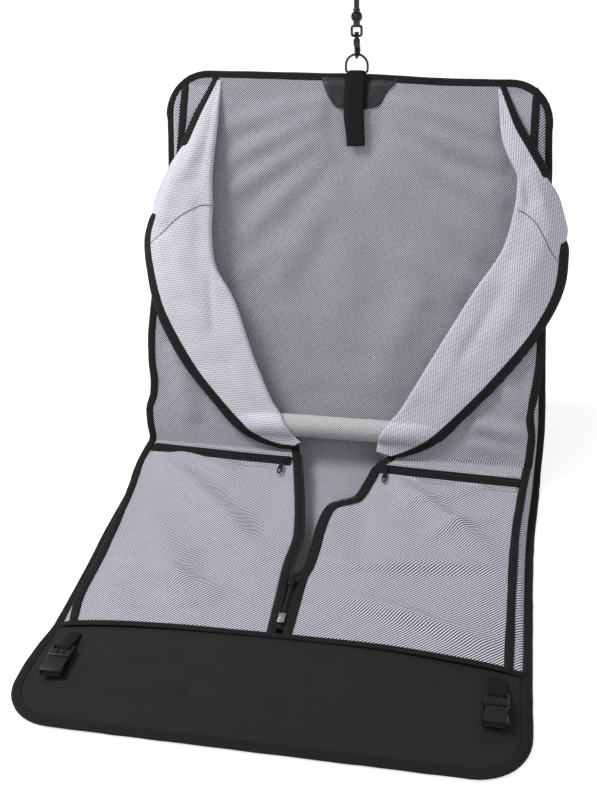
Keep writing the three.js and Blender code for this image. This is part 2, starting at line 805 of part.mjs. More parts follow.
function addBolster() {
  const outline = BOLSTER_END_SHARES.map(([x, r]) => [x * BOLSTER_HALF_LENGTH, r * BOLSTER_RADIUS]);
  const profile = [
    new THREE.Vector2(0, -BOLSTER_HALF_LENGTH),
    ...outline.slice(1).reverse().map(([x, r]) => new THREE.Vector2(r, -x)),
    ...outline.map(([x, r]) => new THREE.Vector2(r, x)),
    new THREE.Vector2(0, BOLSTER_HALF_LENGTH),
  ];
  const roll = new THREE.LatheGeometry(profile, ROUND_SIDES).rotateZ(Math.PI / 2);
  roll.translate(0, -BOLSTER_PLACE, BOLSTER_HEIGHT);
  place(upper, "bolster", roll, MATERIALS.padding);
  for (const [name, side] of [
    ["left", -1],
    ["right", 1],
  ]) {
    const length = END_STRAP_END - BOLSTER_HALF_LENGTH - GAP;
    const strap = block(
      length,
      END_STRAP_WIDTH,
      WEBBING_THICKNESS,
      side * (END_STRAP_END - length / 2),
      -BOLSTER_PLACE,
      LINING_TOP + GAP + WEBBING_THICKNESS / 2,
    );
    const riser = block(
      WEBBING_THICKNESS,
      END_STRAP_WIDTH,
      BOLSTER_RADIUS,
      side * (BOLSTER_HALF_LENGTH + GAP + WEBBING_THICKNESS / 2),
      -BOLSTER_PLACE,
      LINING_TOP + GAP + BOLSTER_RADIUS / 2,
    );
    place(upper, "bolster_strap_" + name, carve([strap, riser]), MATERIALS.webbing);
  }
}

function addHangerPieces() {
  const bottom = PANEL_REST_HEIGHT;
  const patch = new THREE.Shape(
    PATCH_SHARES.map(([x, v]) => new THREE.Vector2(x * PATCH_HALF_WIDTH, -GAP - v * PATCH_LENGTH)),
  );
  place(upper, "hanger_patch", slab(patch, PATCH_THICKNESS, bottom), MATERIALS.patch);
  const loopFront = bottom + PATCH_THICKNESS + GAP + WEBBING_THICKNESS / 2;
  const loopBack = -GAP - WEBBING_THICKNESS / 2;
  const bar = RING_BOTTOM + RING_WIRE / 2;
  const [barUp, barOut] = [bar * Math.cos(LEAN), bar * Math.sin(LEAN)];
  const bend = RING_WIRE / 2 + 2 * GAP + WEBBING_THICKNESS / 2;
  const arc = evenShares(LOOP_STEPS).map((share) => {
    const angle = mix(-LOOP_OVERLAP_ANGLE, Math.PI + LOOP_OVERLAP_ANGLE, share);
    return [barUp + bend * Math.sin(angle), barOut - bend * Math.cos(angle)];
  });
  const path = [[-LOOP_LEG, loopBack], [-GAP, loopBack], ...arc, [-GAP, loopFront], [-LOOP_LEG, loopFront]];
  place(upper, "ring_loop", ribbon(path, LOOP_WIDTH, WEBBING_THICKNESS), MATERIALS.webbing);
  const strapMiddle = loopFront + WEBBING_THICKNESS / 2 + GAP + STRAP_THICKNESS / 2;
  const strap = STRAP_BEND_SHARES.map((share, i) => {
    return [mix(-STRAP_TOP, -STRAP_END, share), strapMiddle + STRAP_RISES[i]];
  });
  place(upper, "hanger_strap", ribbon(strap, STRAP_WIDTH, STRAP_THICKNESS), MATERIALS.webbing);
}

function addRing() {
  const half = (RING_WIDTH - RING_WIRE) / 2;
  const middle = RING_TOP - RING_WIRE / 2 - half;
  const cornerPlace = half - RING_CORNER;
  const cornerHeight = RING_BOTTOM + RING_WIRE / 2 + RING_CORNER;
  const arc = (x, z, radius, from, to, steps) =>
    evenShares(steps).map((share) => {
      const angle = mix(from, to, share);
      return new THREE.Vector2(x + radius * Math.cos(angle), z + radius * Math.sin(angle));
    });
  const path = [
    ...arc(0, middle, half, 0, Math.PI, RING_ARC_STEPS),
    ...arc(-cornerPlace, cornerHeight, RING_CORNER, Math.PI, 1.5 * Math.PI, RING_CORNER_STEPS),
    ...arc(cornerPlace, cornerHeight, RING_CORNER, 1.5 * Math.PI, 2 * Math.PI, RING_CORNER_STEPS),
  ];
  place(hardware, "d_ring", wireLoop(path, RING_WIRE / 2), MATERIALS.metal);
}

function addSnapHook() {
  const wire = RING_TOP - RING_WIRE / 2;
  const eye = wire - RING_WIRE / 2 - 2 * GAP + SNAP_EYE_RADIUS;
  const half = SNAP_WIDTH / 2 + SNAP_EYE_RADIUS / 2;
  const shoulder = SNAP_SHOULDER_WIDTH / 2;
  const outline = new THREE.Shape();
  outline.moveTo(-shoulder, SNAP_SHOULDER);
  outline.lineTo(-shoulder, eye + SNAP_EYE_RADIUS + shoulder);
  outline.lineTo(-half, eye + SNAP_EYE_RADIUS / 2);
  outline.lineTo(-half, eye - SNAP_EYE_RADIUS / 2);
  outline.lineTo(-shoulder, SNAP_NOSE + GATE_THICKNESS);
  outline.lineTo(0, SNAP_NOSE);
  outline.lineTo(shoulder, SNAP_NOSE + GATE_THICKNESS);
  outline.lineTo(half, eye - SNAP_EYE_RADIUS / 2);
  outline.lineTo(half, eye + SNAP_EYE_RADIUS / 2);
  outline.lineTo(shoulder, eye + SNAP_EYE_RADIUS + shoulder);
  outline.lineTo(shoulder, SNAP_SHOULDER);
  const hole = new THREE.Path().absarc(0, eye, SNAP_EYE_RADIUS, 0, 2 * Math.PI, true);
  outline.holes.push(hole);
  const body = sideways(outline, SNAP_THICKNESS, ROUND_SIDES);
  const mouthHeight = SNAP_EYE_RADIUS * MOUTH_HEIGHT_SHARE;
  const mouthPlace = -SNAP_EYE_RADIUS * MOUTH_INSIDE_SHARE - half / 2;
  const mouth = block(2 * SNAP_THICKNESS, half, mouthHeight, 0, mouthPlace, eye + GAP);
  const neckEnd = YOKE_WINDOW_BOTTOM + 2 * GAP;
  const neck = stud(STUD_RADIUS, SNAP_SHOULDER - WELD, neckEnd);
  const head = stud(STUD_HEAD_RADIUS, neckEnd - GAP, neckEnd - GAP + STUD_HEAD_HEIGHT);
  place(hardware, "snap_hook", carve([body, neck, head], [mouth]), MATERIALS.metal);
  const gateHeight = mouthHeight - 4 * GAP;
  const gate = block(GATE_WIDTH, GATE_THICKNESS, gateHeight, 0, -half + GATE_THICKNESS / 2, eye + GAP);
  place(hardware, "snap_gate", gate, MATERIALS.metal);
}

function addYoke() {
  const frame = block(YOKE_WIDTH, YOKE_DEPTH, YOKE_TOP - YOKE_BOTTOM, 0, 0, (YOKE_TOP + YOKE_BOTTOM) / 2);
  const window = block(
    YOKE_WINDOW_WIDTH,
    2 * YOKE_DEPTH,
    YOKE_WINDOW_TOP - YOKE_WINDOW_BOTTOM,
    0,
    0,
    (YOKE_WINDOW_TOP + YOKE_WINDOW_BOTTOM) / 2,
  );
  const hole = stud(STUD_RADIUS + GAP, YOKE_BOTTOM - YOKE_DEPTH, YOKE_WINDOW_BOTTOM + YOKE_DEPTH / 2);
  const inside = EYE_THICKNESS / 2 + GAP;
  const pieces = [frame];
  for (const side of [-1, 1]) {
    const y = side * (inside + EAR_THICKNESS / 2);
    const ear = block(EAR_WIDTH, EAR_THICKNESS, EYE_HEIGHT - YOKE_TOP + WELD);
    pieces.push(ear.translate(0, y, (EYE_HEIGHT + YOKE_TOP - WELD) / 2));
    pieces.push(rod(EAR_WIDTH / 2, EAR_THICKNESS, 0, y, EYE_HEIGHT));
  }
  pieces.push(rod(PIN_RADIUS, 2 * inside + EAR_THICKNESS, 0, 0, EYE_HEIGHT));
  place(hardware, "swivel_yoke", carve(pieces, [window, hole]), MATERIALS.metal);
}

function addHangingHook() {
  const centre = HANG_HEIGHT - HOOK_RADIUS;
  const bend = HOOK_RADIUS + ROD_DIAMETER / 2;
  const start = EYE_HEIGHT + EYE_RADIUS - 2 * WELD;
  const round = evenShares(HOOK_BEND_STEPS).map((share) => {
    const angle = mix(...HOOK_BEND_SHARES, share) * Math.PI;
    return new THREE.Vector3(bend * Math.cos(angle), 0, centre + bend * Math.sin(angle));
  });
  const route = [new THREE.Vector3(0, 0, start), new THREE.Vector3(0, 0, HOOK_NECK), ...round];
  const curve = new THREE.CatmullRomCurve3(route, false, "centripetal");
  const section = new THREE.Shape().absarc(0, 0, ROD_DIAMETER / 2, 0, 2 * Math.PI, false);
  const wire = new THREE.ExtrudeGeometry(section, {
    steps: HOOK_STEPS,
    bevelEnabled: false,
    extrudePath: curve,
    curveSegments: ROD_STEPS,
  });
  const eye = rod(EYE_RADIUS, EYE_THICKNESS, 0, 0, EYE_HEIGHT);
  const hole = rod(PIN_RADIUS + GAP, 2 * EYE_THICKNESS, 0, 0, EYE_HEIGHT);
  place(hardware, "hanging_hook", carve([wire, eye], [hole]), MATERIALS.metal);
}

function tapeEdge(table) {
  return (v) => HALF_WIDTH * lookUp(table, v / LOWER_LENGTH);
}

function addLowerPanels() {
  const places = LOWER_STATION_SHARES.map((share) => share * LOWER_LENGTH);
  for (const [name, side, outerTable, innerTable] of [
    ["left", -1, LEFT_TAPE_OUTER_SHARES, LEFT_TAPE_INNER_SHARES],
    ["right", 1, RIGHT_TAPE_OUTER_SHARES, RIGHT_TAPE_INNER_SHARES],
  ]) {
    const [outer, inner] = [tapeEdge(outerTable), tapeEdge(innerTable)];
    const panel = panelGrid(side, places, (v) => outer(v) + GAP, lowerHeight);
    place(lower, "front_panel_lower_" + name, sheet(panel, CLOTH_THICKNESS), MATERIALS.cloth);
    const tape = places.map((v) =>
      [outer(v), inner(v)].map((out) => new THREE.Vector3(side * out, -v, lowerHeight(outer(v), v))),
    );
    place(lower, "centre_tape_" + name, sheet(tape, TAPE_THICKNESS), MATERIALS.binding);
  }
}

function addCentreZip() {
  const height = lowerHeight(0, CHAIN_END);
  const chainLength = CHAIN_END - CHAIN_START;
  const chain = block(
    CHAIN_WIDTH,
    chainLength,
    CHAIN_THICKNESS,
    ZIP_CENTRE,
    -(CHAIN_START + CHAIN_END) / 2,
    height,
  );
  place(lower, "centre_chain", chain, MATERIALS.binding);
  const base = height + CHAIN_THICKNESS / 2 + GAP;
  const half = SLIDER_LENGTH / 2;
  const slider = new THREE.Shape(
    SLIDER_OUTLINE_SHARES.map(([along, up]) => new THREE.Vector2(along * half, up * SLIDER_HEIGHT)),
  );
  const body = sideways(slider, SLIDER_WIDTH).translate(ZIP_CENTRE, -CENTRE_SLIDER_PLACE, base);
  place(lower, "centre_slider", body, MATERIALS.plastic);
  const pullTop = base + SLIDER_HEIGHT + GAP + PULL_THICKNESS / 2;
  place(
    lower,
    "centre_pull",
    ribbedPull(PULL_WIDTH, PULL_LENGTH, PULL_THICKNESS).translate(
      ZIP_CENTRE,
      -CENTRE_SLIDER_PLACE - PULL_LENGTH * PULL_OVERHANG_SHARE,
      pullTop,
    ),
    MATERIALS.plastic,
  );
  const end = block(SLIDER_WIDTH, LOWER_SLIDER_LENGTH, SLIDER_HEIGHT);
  end.translate(ZIP_CENTRE, -LOWER_SLIDER_PLACE, base + SLIDER_HEIGHT / 2);
  place(lower, "lower_slider", end, MATERIALS.bright);
}

// A flat tab with raised ribs across it.
function ribbedPull(width, length, thickness) {
  const pitch = length / (RIB_COUNT + 2);
  const reach = (RIB_COUNT - 1) / 2;
  const ribs = evenShares(RIB_COUNT).map((share) => {
    const place = (mix(-reach, reach, share) - 1 / 2) * pitch;
    return block(width, pitch / 2, thickness, 0, place, thickness * RIB_RISE_SHARE);
  });
  return carve([block(width, length, thickness), ...ribs]);
}

function addPocketZip(name, side, innerEnd, innerPlace, outerPlace) {
  const height = lowerHeight(0, 0) + CLOTH_THICKNESS / 2 + GAP + TAPE_THICKNESS / 2;
  const rows = [-0.5, 0.5].map((share) =>
    [
      [innerEnd, innerPlace],
      [POCKET_OUTER_END, outerPlace],
    ].map(([out, along]) => new THREE.Vector3(side * out, -along + share * POCKET_TAPE_WIDTH, height)),
  );
  place(lower, "pocket_tape_" + name, sheet(rows, TAPE_THICKNESS), MATERIALS.binding);
  const slope = Math.atan2(innerPlace - outerPlace, POCKET_OUTER_END - innerEnd) * side;
  const out = innerEnd + POCKET_SLIDER_LENGTH / 2;
  const base = height + TAPE_THICKNESS / 2 + GAP;
  const slider = block(POCKET_SLIDER_LENGTH, POCKET_SLIDER_WIDTH, POCKET_SLIDER_HEIGHT);
  slider.rotateZ(slope).translate(side * out, -innerPlace, base + POCKET_SLIDER_HEIGHT / 2);
  place(lower, "pocket_slider_" + name, slider, MATERIALS.plastic);
  const pullHeight = base + POCKET_SLIDER_HEIGHT - PULL_THICKNESS / 2;
  const start = innerPlace + POCKET_SLIDER_WIDTH / 2 + 3 * GAP;
  const pull = ribbedPull(PULL_WIDTH, POCKET_PULL_LENGTH, PULL_THICKNESS);
  pull.translate(side * out, -start - POCKET_PULL_LENGTH / 2, pullHeight);
  place(lower, "pocket_pull_" + name, pull, MATERIALS.plastic);
}

function addBottomPanel() {
  const seamRows = [-0.5, 0.5].map((share) =>
    evenShares(PANEL_STATIONS).map((step) => {
      const across = mix(-PANEL_OUTER_EDGE, PANEL_OUTER_EDGE, step);
      const along = BOTTOM_SEAM_PLACE + share * BOTTOM_SEAM_WIDTH;
      return new THREE.Vector3(across, -along, lowerHeight(across, BOTTOM_SEAM_PLACE));
    }),
  );
  place(lower, "bottom_seam_binding", sheet(seamRows, BOTTOM_SEAM_THICKNESS), MATERIALS.binding);
  const start = BOTTOM_SEAM_PLACE + BOTTOM_SEAM_WIDTH / 2 + 2 * GAP;
  const end = LOWER_LENGTH - OUTER_BINDING_WIDTH / 2;
  const rows = evenShares(BOTTOM_STATIONS).map((share) => {
    const along = mix(start, end, share);
    return evenShares(PANEL_STATIONS).map((step) => {
      const across = mix(-1, 1, step) * bottomPanelHalfWidth(along);
      return new THREE.Vector3(across, -along, bottomPanelHeight(across, along));
    });
  });
  place(lower, "bottom_panel", sheet(rows, CLOTH_THICKNESS), MATERIALS.shell);
}

function addBuckle(name, side) {
  const across = side * BUCKLE_PLACE_ACROSS;
  const inner = BUCKLE_PLACE_ACROSS - BUCKLE_WEBBING_WIDTH / 2;
  const rest = bottomPanelHeight(inner, BUCKLE_WEBBING_START) + CLOTH_THICKNESS / 2 + 2 * GAP;
  const middle = rest + WEBBING_THICKNESS / 2;
  const barPlace = BUCKLE_WEBBING_END;
  const barHeight = rest + WEBBING_THICKNESS + GAP + BUCKLE_BAR / 2;
  const bend = BUCKLE_BAR / 2 + GAP + WEBBING_THICKNESS / 2;
  const turn = evenShares(TURN_STEPS).map((share) => {
    const angle = mix(-0.5, 0.5, share) * Math.PI;
    return [-barPlace - bend * Math.cos(angle), barHeight + bend * Math.sin(angle)];
  });
  const path = [[-BUCKLE_WEBBING_START, middle], ...turn, [-BUCKLE_WEBBING_START, barHeight + bend]];
  const webbing = ribbon(path, BUCKLE_WEBBING_WIDTH, WEBBING_THICKNESS, across);
  place(lower, "buckle_webbing_" + name, webbing, MATERIALS.webbing);
  const bodyLength = BUCKLE_LENGTH - BUCKLE_SLOT;
  const bodyStart = barPlace + BUCKLE_SLOT;
  const bodyMiddle = -bodyStart - bodyLength / 2;
  const body = block(BUCKLE_WIDTH, bodyLength, BUCKLE_THICKNESS, across, bodyMiddle, barHeight);
  const cavity = block(
    BUCKLE_WIDTH - 2 * BUCKLE_WALL,
    bodyLength,
    BUCKLE_THICKNESS - 2 * BUCKLE_WALL,
    across,
    bodyMiddle - BUCKLE_WALL,
    barHeight,
  );
  const armLength = BUCKLE_SLOT + BUCKLE_BAR / 2 + WELD;
  const arms = [-1, 1].map((end) =>
    block(
      BUCKLE_ARM,
      armLength,
      BUCKLE_BAR,
      across + (end * (BUCKLE_WIDTH - BUCKLE_ARM)) / 2,
      -bodyStart + armLength / 2 - WELD,
      barHeight,
    ),
  );
  const bar = rod(BUCKLE_BAR / 2, BUCKLE_WIDTH - BUCKLE_ARM, 0, 0, 0)
    .rotateZ(Math.PI / 2)
    .translate(across, -barPlace, barHeight);
  place(lower, "buckle_" + name, carve([body, ...arms, bar], [cavity]), MATERIALS.plastic);
}

function addLowerHalf() {
  addBack(lower, "lower", -GAP / 2, -LOWER_LENGTH);
  const seamEnd = BOTTOM_SEAM_PLACE + BOTTOM_SEAM_WIDTH / 2;
  addSides(lower, "lower", lowerHeight, GAP, seamEnd, GAP);
  addLowerPanels();
  addBottomPanel();
  addCentreZip();
  addPocketZip("left", -1, LEFT_POCKET_INNER_END, LEFT_POCKET_INNER_PLACE, LEFT_POCKET_OUTER_PLACE);
  addPocketZip("right", 1, RIGHT_POCKET_INNER_END, RIGHT_POCKET_INNER_PLACE, RIGHT_POCKET_OUTER_PLACE);
  addBuckle("left", -1);
  addBuckle("right", 1);
}

// A layer that bends round the fold from the lower half to the upper half.
function foldLayer(name, bottom, thickness, centre, width, finish) {
  const [outer, inner] = [DEPTH - bottom, DEPTH - bottom - thickness];
  const trim = GAP / outer;
  const [from, to] = [-Math.PI / 2 + trim, -LEAN - trim];
  const shape = new THREE.Shape();
  shape.absarc(0, 0, outer, from, to, false);
  shape.absarc(0, 0, inner, to, from, true);
  place(fold, name, sideways(shape, width, OUTLINE_STEPS).translate(centre, 0, 0), finish);
}

function addFold() {
  const inside = 2 * (HALF_WIDTH - OUTER_BINDING_WIDTH - GAP);
  foldLayer("fold_shell", 0, SHELL_THICKNESS, 0, inside, MATERIALS.shell);
  foldLayer("fold_lining", SHELL_THICKNESS + GAP, LINING_THICKNESS, 0, inside, MATERIALS.lining);
  for (const [name, side] of [
    ["left", -1],
    ["right", 1],
  ]) {
    const centre = side * (HALF_WIDTH - OUTER_BINDING_WIDTH / 2);
    const width = OUTER_BINDING_WIDTH;
    foldLayer("fold_binding_" + name, 0, OUTER_BINDING_THICKNESS, centre, width, MATERIALS.binding);
  }
}

addUpperHalf();
addBolster();
addHangerPieces();
addRing();
addSnapHook();
addYoke();
addHangingHook();
addLowerHalf();
addFold();

export default bag;
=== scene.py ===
import math

import bmesh
import bpy
import numpy as np
from mathutils import Matrix, Vector


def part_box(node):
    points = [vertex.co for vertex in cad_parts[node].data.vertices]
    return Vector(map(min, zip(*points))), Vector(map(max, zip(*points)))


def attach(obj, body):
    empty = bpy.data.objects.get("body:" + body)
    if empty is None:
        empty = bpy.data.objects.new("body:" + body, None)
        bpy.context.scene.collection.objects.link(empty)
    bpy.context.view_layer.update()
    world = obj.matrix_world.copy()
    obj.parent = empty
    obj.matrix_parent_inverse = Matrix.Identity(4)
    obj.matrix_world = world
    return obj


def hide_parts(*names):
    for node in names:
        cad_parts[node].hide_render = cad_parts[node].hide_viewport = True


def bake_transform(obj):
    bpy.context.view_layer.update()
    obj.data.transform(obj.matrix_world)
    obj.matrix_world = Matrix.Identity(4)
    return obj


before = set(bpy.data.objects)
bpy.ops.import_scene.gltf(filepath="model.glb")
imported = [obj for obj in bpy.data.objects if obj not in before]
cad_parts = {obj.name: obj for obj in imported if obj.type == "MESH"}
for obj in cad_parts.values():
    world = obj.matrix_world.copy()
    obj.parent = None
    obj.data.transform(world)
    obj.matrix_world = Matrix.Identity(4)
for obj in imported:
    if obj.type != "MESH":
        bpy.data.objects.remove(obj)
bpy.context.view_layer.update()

# Sizes in millimetres, as in the part's source
HALF_WIDTH = 305.0
UPPER_LENGTH = 573.0
LOWER_LENGTH = 576.0
DEPTH = 36.0
CORNER_RADIUS = 66.0
LEAN = math.radians(24.8)
SIN, COS = math.sin(LEAN), math.cos(LEAN)
HANG = 190.0
FOLD_TURN = math.pi / 2 - LEAN
FOLD_LENGTH = DEPTH * FOLD_TURN
LOWER_START = UPPER_LENGTH + FOLD_LENGTH
LENGTH = LOWER_START + LOWER_LENGTH
AXIS_Y = -SIN * UPPER_LENGTH - COS * DEPTH
AXIS_Z = -HANG - COS * UPPER_LENGTH + SIN * DEPTH
INNER = 274.0
BOLSTER_PLACE, BOLSTER_RADIUS, BOLSTER_HALF, BOLSTER_HEIGHT = 537.0, 17.0, 128.0, 21.2
SEAM = 412.0
ZIP = -6.0
RING_WIDTH, RING_WIRE, RING_LOW, RING_TOP = 37.0, 3.6, 8.0, 39.0
HOOK_PIVOT = 92.0


# Small tools
def curve(points):
    """A smooth function through rows of (place, value)."""
    x = np.array([p[0] for p in points], float)
    y = np.array([p[1] for p in points], float)
    step = np.diff(x)
    slope = np.diff(y) / step
    tangent = np.concatenate([[slope[0]], (slope[1:] + slope[:-1]) / 2, [slope[-1]]])
    tangent[1:-1] = np.where(slope[1:] * slope[:-1] <= 0, 0, tangent[1:-1])

    def at(place):
        place = np.clip(np.asarray(place, float), x[0], x[-1])
        i = np.clip(np.searchsorted(x, place, "right") - 1, 0, len(step) - 1)
        t = (place - x[i]) / step[i]
        return (
            y[i] * (1 + 2 * t) * (1 - t) ** 2
            + step[i] * tangent[i] * t * (1 - t) ** 2
            + y[i + 1] * t * t * (3 - 2 * t)
            + step[i] * tangent[i + 1] * t * t * (t - 1)
        )

    return at


def route(points):
    """A smooth path through points by their number, as arrays."""
    made = [curve([(i, p[k]) for i, p in enumerate(points)]) for k in range(len(points[0]))]
    return lambda t: [f(t) for f in made]


def ease(x, low, high):
    t = np.clip((np.asarray(x, float) - low) / (high - low), 0, 1)
    return t * t * (3 - 2 * t)


def bumps(x, y, scale, seed):
    """Smooth seeded noise from -1 to 1."""
    table = np.random.RandomState(seed).rand(64, 64) * 2 - 1
    x, y = np.asarray(x, float) / scale + 31.7, np.asarray(y, float) / scale + 17.3
    i, j = np.floor(x).astype(int), np.floor(y).astype(int)
    a, b = x - i, y - j
    a, b = a * a * (3 - 2 * a), b * b * (3 - 2 * b)
    i0, i1, j0, j1 = i % 64, (i + 1) % 64, j % 64, (j + 1) % 64
    low = table[i0, j0] * (1 - a) + table[i1, j0] * a
    high = table[i0, j1] * (1 - a) + table[i1, j1] * a
    return low * (1 - b) + high * b


def fold(u, v, a, b, width, height):
    """A soft ridge along a line, fading at its two ends."""
    du, dv = b[0] - a[0], b[1] - a[1]
    t = ((u - a[0]) * du + (v - a[1]) * dv) / (du * du + dv * dv)
    held = np.clip(t, 0, 1)
    away = np.hypot(u - a[0] - held * du, v - a[1] - held * dv)
    fade = np.sqrt(np.clip(1 - (2 * held - 1) ** 2, 0, 1))
    return height * np.exp(-((away / width) ** 2)) * fade


# The bag's frame
def place(u, s, d):
    """World points, in metres, from places across, along and above the back."""
    u, s, d = np.broadcast_arrays(*(np.asarray(x, float) for x in (u, s, d)))
    share = np.clip((s - UPPER_LENGTH) / FOLD_LENGTH, 0, 1)
    angle = -LEAN - share * FOLD_TURN
    reach = DEPTH - d
    above, below = np.maximum(UPPER_LENGTH - s, 0), np.maximum(s - LOWER_START, 0)
    y = AXIS_Y + reach * np.cos(angle) + SIN * above - below
    z = AXIS_Z + reach * np.sin(angle) + COS * above
    return np.stack([u, y, z], -1) / 1000


TOP_RISE = curve([(-305, 9.5), (-160, 9), (-65, 8), (30, 7.5), (80, 5), (128, 3.2), (305, 2.5)])


def bag(u, s, d):
    """The same, with the top edge pulled up a little, more on the left than on the right."""
    p = place(u, s, d)
    rise = TOP_RISE(p[..., 0] * 1000) * (1 - ease(np.asarray(s, float), 0, 240)) / 1000
    return p + rise[..., None] * np.array([0, SIN, COS])


def up(u, v, d):
    return place(u, v, d)


def lo(u, v, d):
    return bag(u, LOWER_START + np.asarray(v, float), d)


def normal_at(s):
    share = np.clip((np.asarray(s, float) - UPPER_LENGTH) / FOLD_LENGTH, 0, 1)
    angle = -LEAN - share * FOLD_TURN
    return np.stack([np.zeros_like(angle), -np.cos(angle), -np.sin(angle)], -1)


EDGE = {
    -1: curve([(0, -5), (56, -6), (118, -10), (159, -12), (225, -8), (330, 2), (367, 4), (394, 7), (424, 5.5), (453, 2),
               (490, -1), (523, 7), (553, 2), (602, 3), (661, 2), (712, -1), (816, -1.5), (870, -3.5), (919, -4.5),
               (1022, -5), (1060, 1), (1095, 4.5), (1120, 5), (1190, 5)]),
    1: curve([(0, -6), (53, -7), (151, -2), (260, 1), (361, 4), (414, 7), (460, 10), (495, 12), (532, 13), (573, 12),
              (614, 10.5), (639, 9), (752, 2), (868, 0), (1019, 0), (1095, 0.5), (1120, 1), (1190, 1)]),
}


def half_width(side, s):
    """Half the width of the outline at a place along the bag."""
    end = np.minimum(s, LENGTH - s)
    rise = np.clip(CORNER_RADIUS - end, 0, CORNER_RADIUS)
    return HALF_WIDTH + EDGE[side](s) - CORNER_RADIUS + np.sqrt(np.clip(CORNER_RADIUS**2 - rise**2, 0, None))


UPPER_SHARES = curve([(0, 0.08), (0.03, 0.085), (0.05, 0.14), (0.09, 0.28), (0.14, 0.38), (0.26, 0.58), (0.45, 0.7),
                      (0.6, 0.78), (0.8, 0.84), (1, 0.86)])

CENTRE_SHARES = curve([(0, 0.86), (0.09, 0.86), (0.2, 0.8), (0.35, 0.73), (0.5, 0.68), (1, 0.68)])
SIDE_SHARES = curve([(0, 0.86), (0.09, 0.86), (0.2, 0.78), (0.35, 0.66), (0.52, 0.45), (0.72, 0.25), (1, 0.2)])


def bolster_lift(u, v):
    reach = BOLSTER_RADIUS + 2.4
    offset = np.abs(v - BOLSTER_PLACE)
    fade = np.clip(1 - np.clip(np.abs(u) - BOLSTER_HALF, 0, None) / 60, 0, 1)
    bump = BOLSTER_HEIGHT + np.sqrt(np.clip(reach**2 - np.minimum(offset, reach) ** 2, 0, None))
    soft = 1 - ease(offset, reach - 6, reach + 12)
    return bump * fade * soft


def upper_height(u, v):
    base = DEPTH * UPPER_SHARES(v / UPPER_LENGTH)
    return np.maximum(base, bolster_lift(u, v))


def lower_height(u, v):
    share = v / LOWER_LENGTH
    out = np.clip(np.abs(u) / INNER, 0, 1) ** 3
    return DEPTH * (CENTRE_SHARES(share) * (1 - out) + SIDE_SHARES(share) * out)


def front_height(u, s):
    """Height of the front cloth all along the bag."""
    v = np.minimum(s, UPPER_LENGTH)
    w = np.maximum(s - LOWER_START, 0)
    return np.where(s < UPPER_LENGTH + FOLD_LENGTH / 2, upper_height(u, v), lower_height(u, w))


# Mesh makers
def finish_mesh(name, points, faces, uvs, slots, materials, flat=(), smooth_normals=None):
    mesh = bpy.data.meshes.new(name)
    mesh.from_pydata([tuple(p) for p in points], [], faces)
    layer = mesh.uv_layers.new(name="UVMap")
    loops = np.zeros(len(mesh.loops) * 2)
    if uvs is not None:
        loops = np.array([c for face in uvs for c in face], float).ravel()
    layer.data.foreach_set("uv", loops)
    for m in materials:
        mesh.materials.append(m)
    mesh.polygons.foreach_set("material_index", np.array(slots, np.int32))
    smooth = np.ones(len(faces), bool)
    smooth[list(flat)] = False
    mesh.polygons.foreach_set("use_smooth", smooth)
    mesh.update()
    if smooth_normals is not None:
        given = []
        for face, is_smooth in zip(faces, smooth):
            given += [tuple(smooth_normals[c]) if is_smooth else (0.0, 0.0, 0.0) for c in face]
        mesh.normals_split_custom_set(given)
    obj = bpy.data.objects.new(name, mesh)
    bpy.context.scene.collection.objects.link(obj)
    return obj


def grid_normals(p):
    down = np.gradient(p, axis=0)
    across = np.gradient(p, axis=1)
    n = np.cross(down, across)
    return n / np.maximum(np.linalg.norm(n, axis=-1, keepdims=True), 1e-12)


def cloth(name, p, thickness, materials, uv=None, facing=None, normals=None):
    """A sheet about a grid of middle points, in metres.

    Facing is a direction of its front, or its normals are given.
    """
    rows, cols = p.shape[:2]
    made = grid_normals(p)
    given = normals is not None
    if not given:
        normals = -made if facing is not None and (made @ np.asarray(facing, float)).mean() < 0 else made
    turned = (normals * made).sum(-1).mean() < 0
    half = thickness / 2000
    front, back = p + normals * half, p - normals * half
    points = np.concatenate([front.reshape(-1, 3), back.reshape(-1, 3)])
    if uv is None:
        along = np.concatenate([[0], np.cumsum(np.linalg.norm(np.diff(p, axis=0), axis=-1).mean(1))])
        across = np.concatenate([np.zeros((rows, 1)), np.cumsum(np.linalg.norm(np.diff(p, axis=1), axis=-1), 1)], 1)
        uv = np.stack([across, np.broadcast_to(along[:, None], (rows, cols))], -1)
    uv = uv.reshape(-1, 2)
    back_at = rows * cols
    faces, uvs, slots, flat = [], [], [], []

    def add(corner, slot, wall=False):
        if turned:
            corner = corner[::-1]
        if wall:
            flat.append(len(faces))
        faces.append(corner)
        uvs.append([uv[c % back_at] for c in corner])
        slots.append(slot)

    last = len(materials) - 1
    for i in range(rows - 1):
        for j in range(cols - 1):
            a, b, c, d = i * cols + j, i * cols + j + 1, (i + 1) * cols + j + 1, (i + 1) * cols + j
            add([a, d, c, b], 0)
            add([a + back_at, b + back_at, c + back_at, d + back_at], last)
    for i in range(rows - 1):
        a, b = i * cols, (i + 1) * cols
        add([a, a + back_at, b + back_at, b], 0, True)
        a, b = a + cols - 1, b + cols - 1
        add([b, b + back_at, a + back_at, a], 0, True)
    for j in range(cols - 1):
        a = j
        add([a + 1, a + 1 + back_at, a + back_at, a], 0, True)
        a = (rows - 1) * cols + j
        add([a, a + back_at, a + 1 + back_at, a + 1], 0, True)
    both = np.concatenate([normals.reshape(-1, 3), -normals.reshape(-1, 3)]) if given else None
    return finish_mesh(name, points, faces, uvs, slots, materials, flat, both)


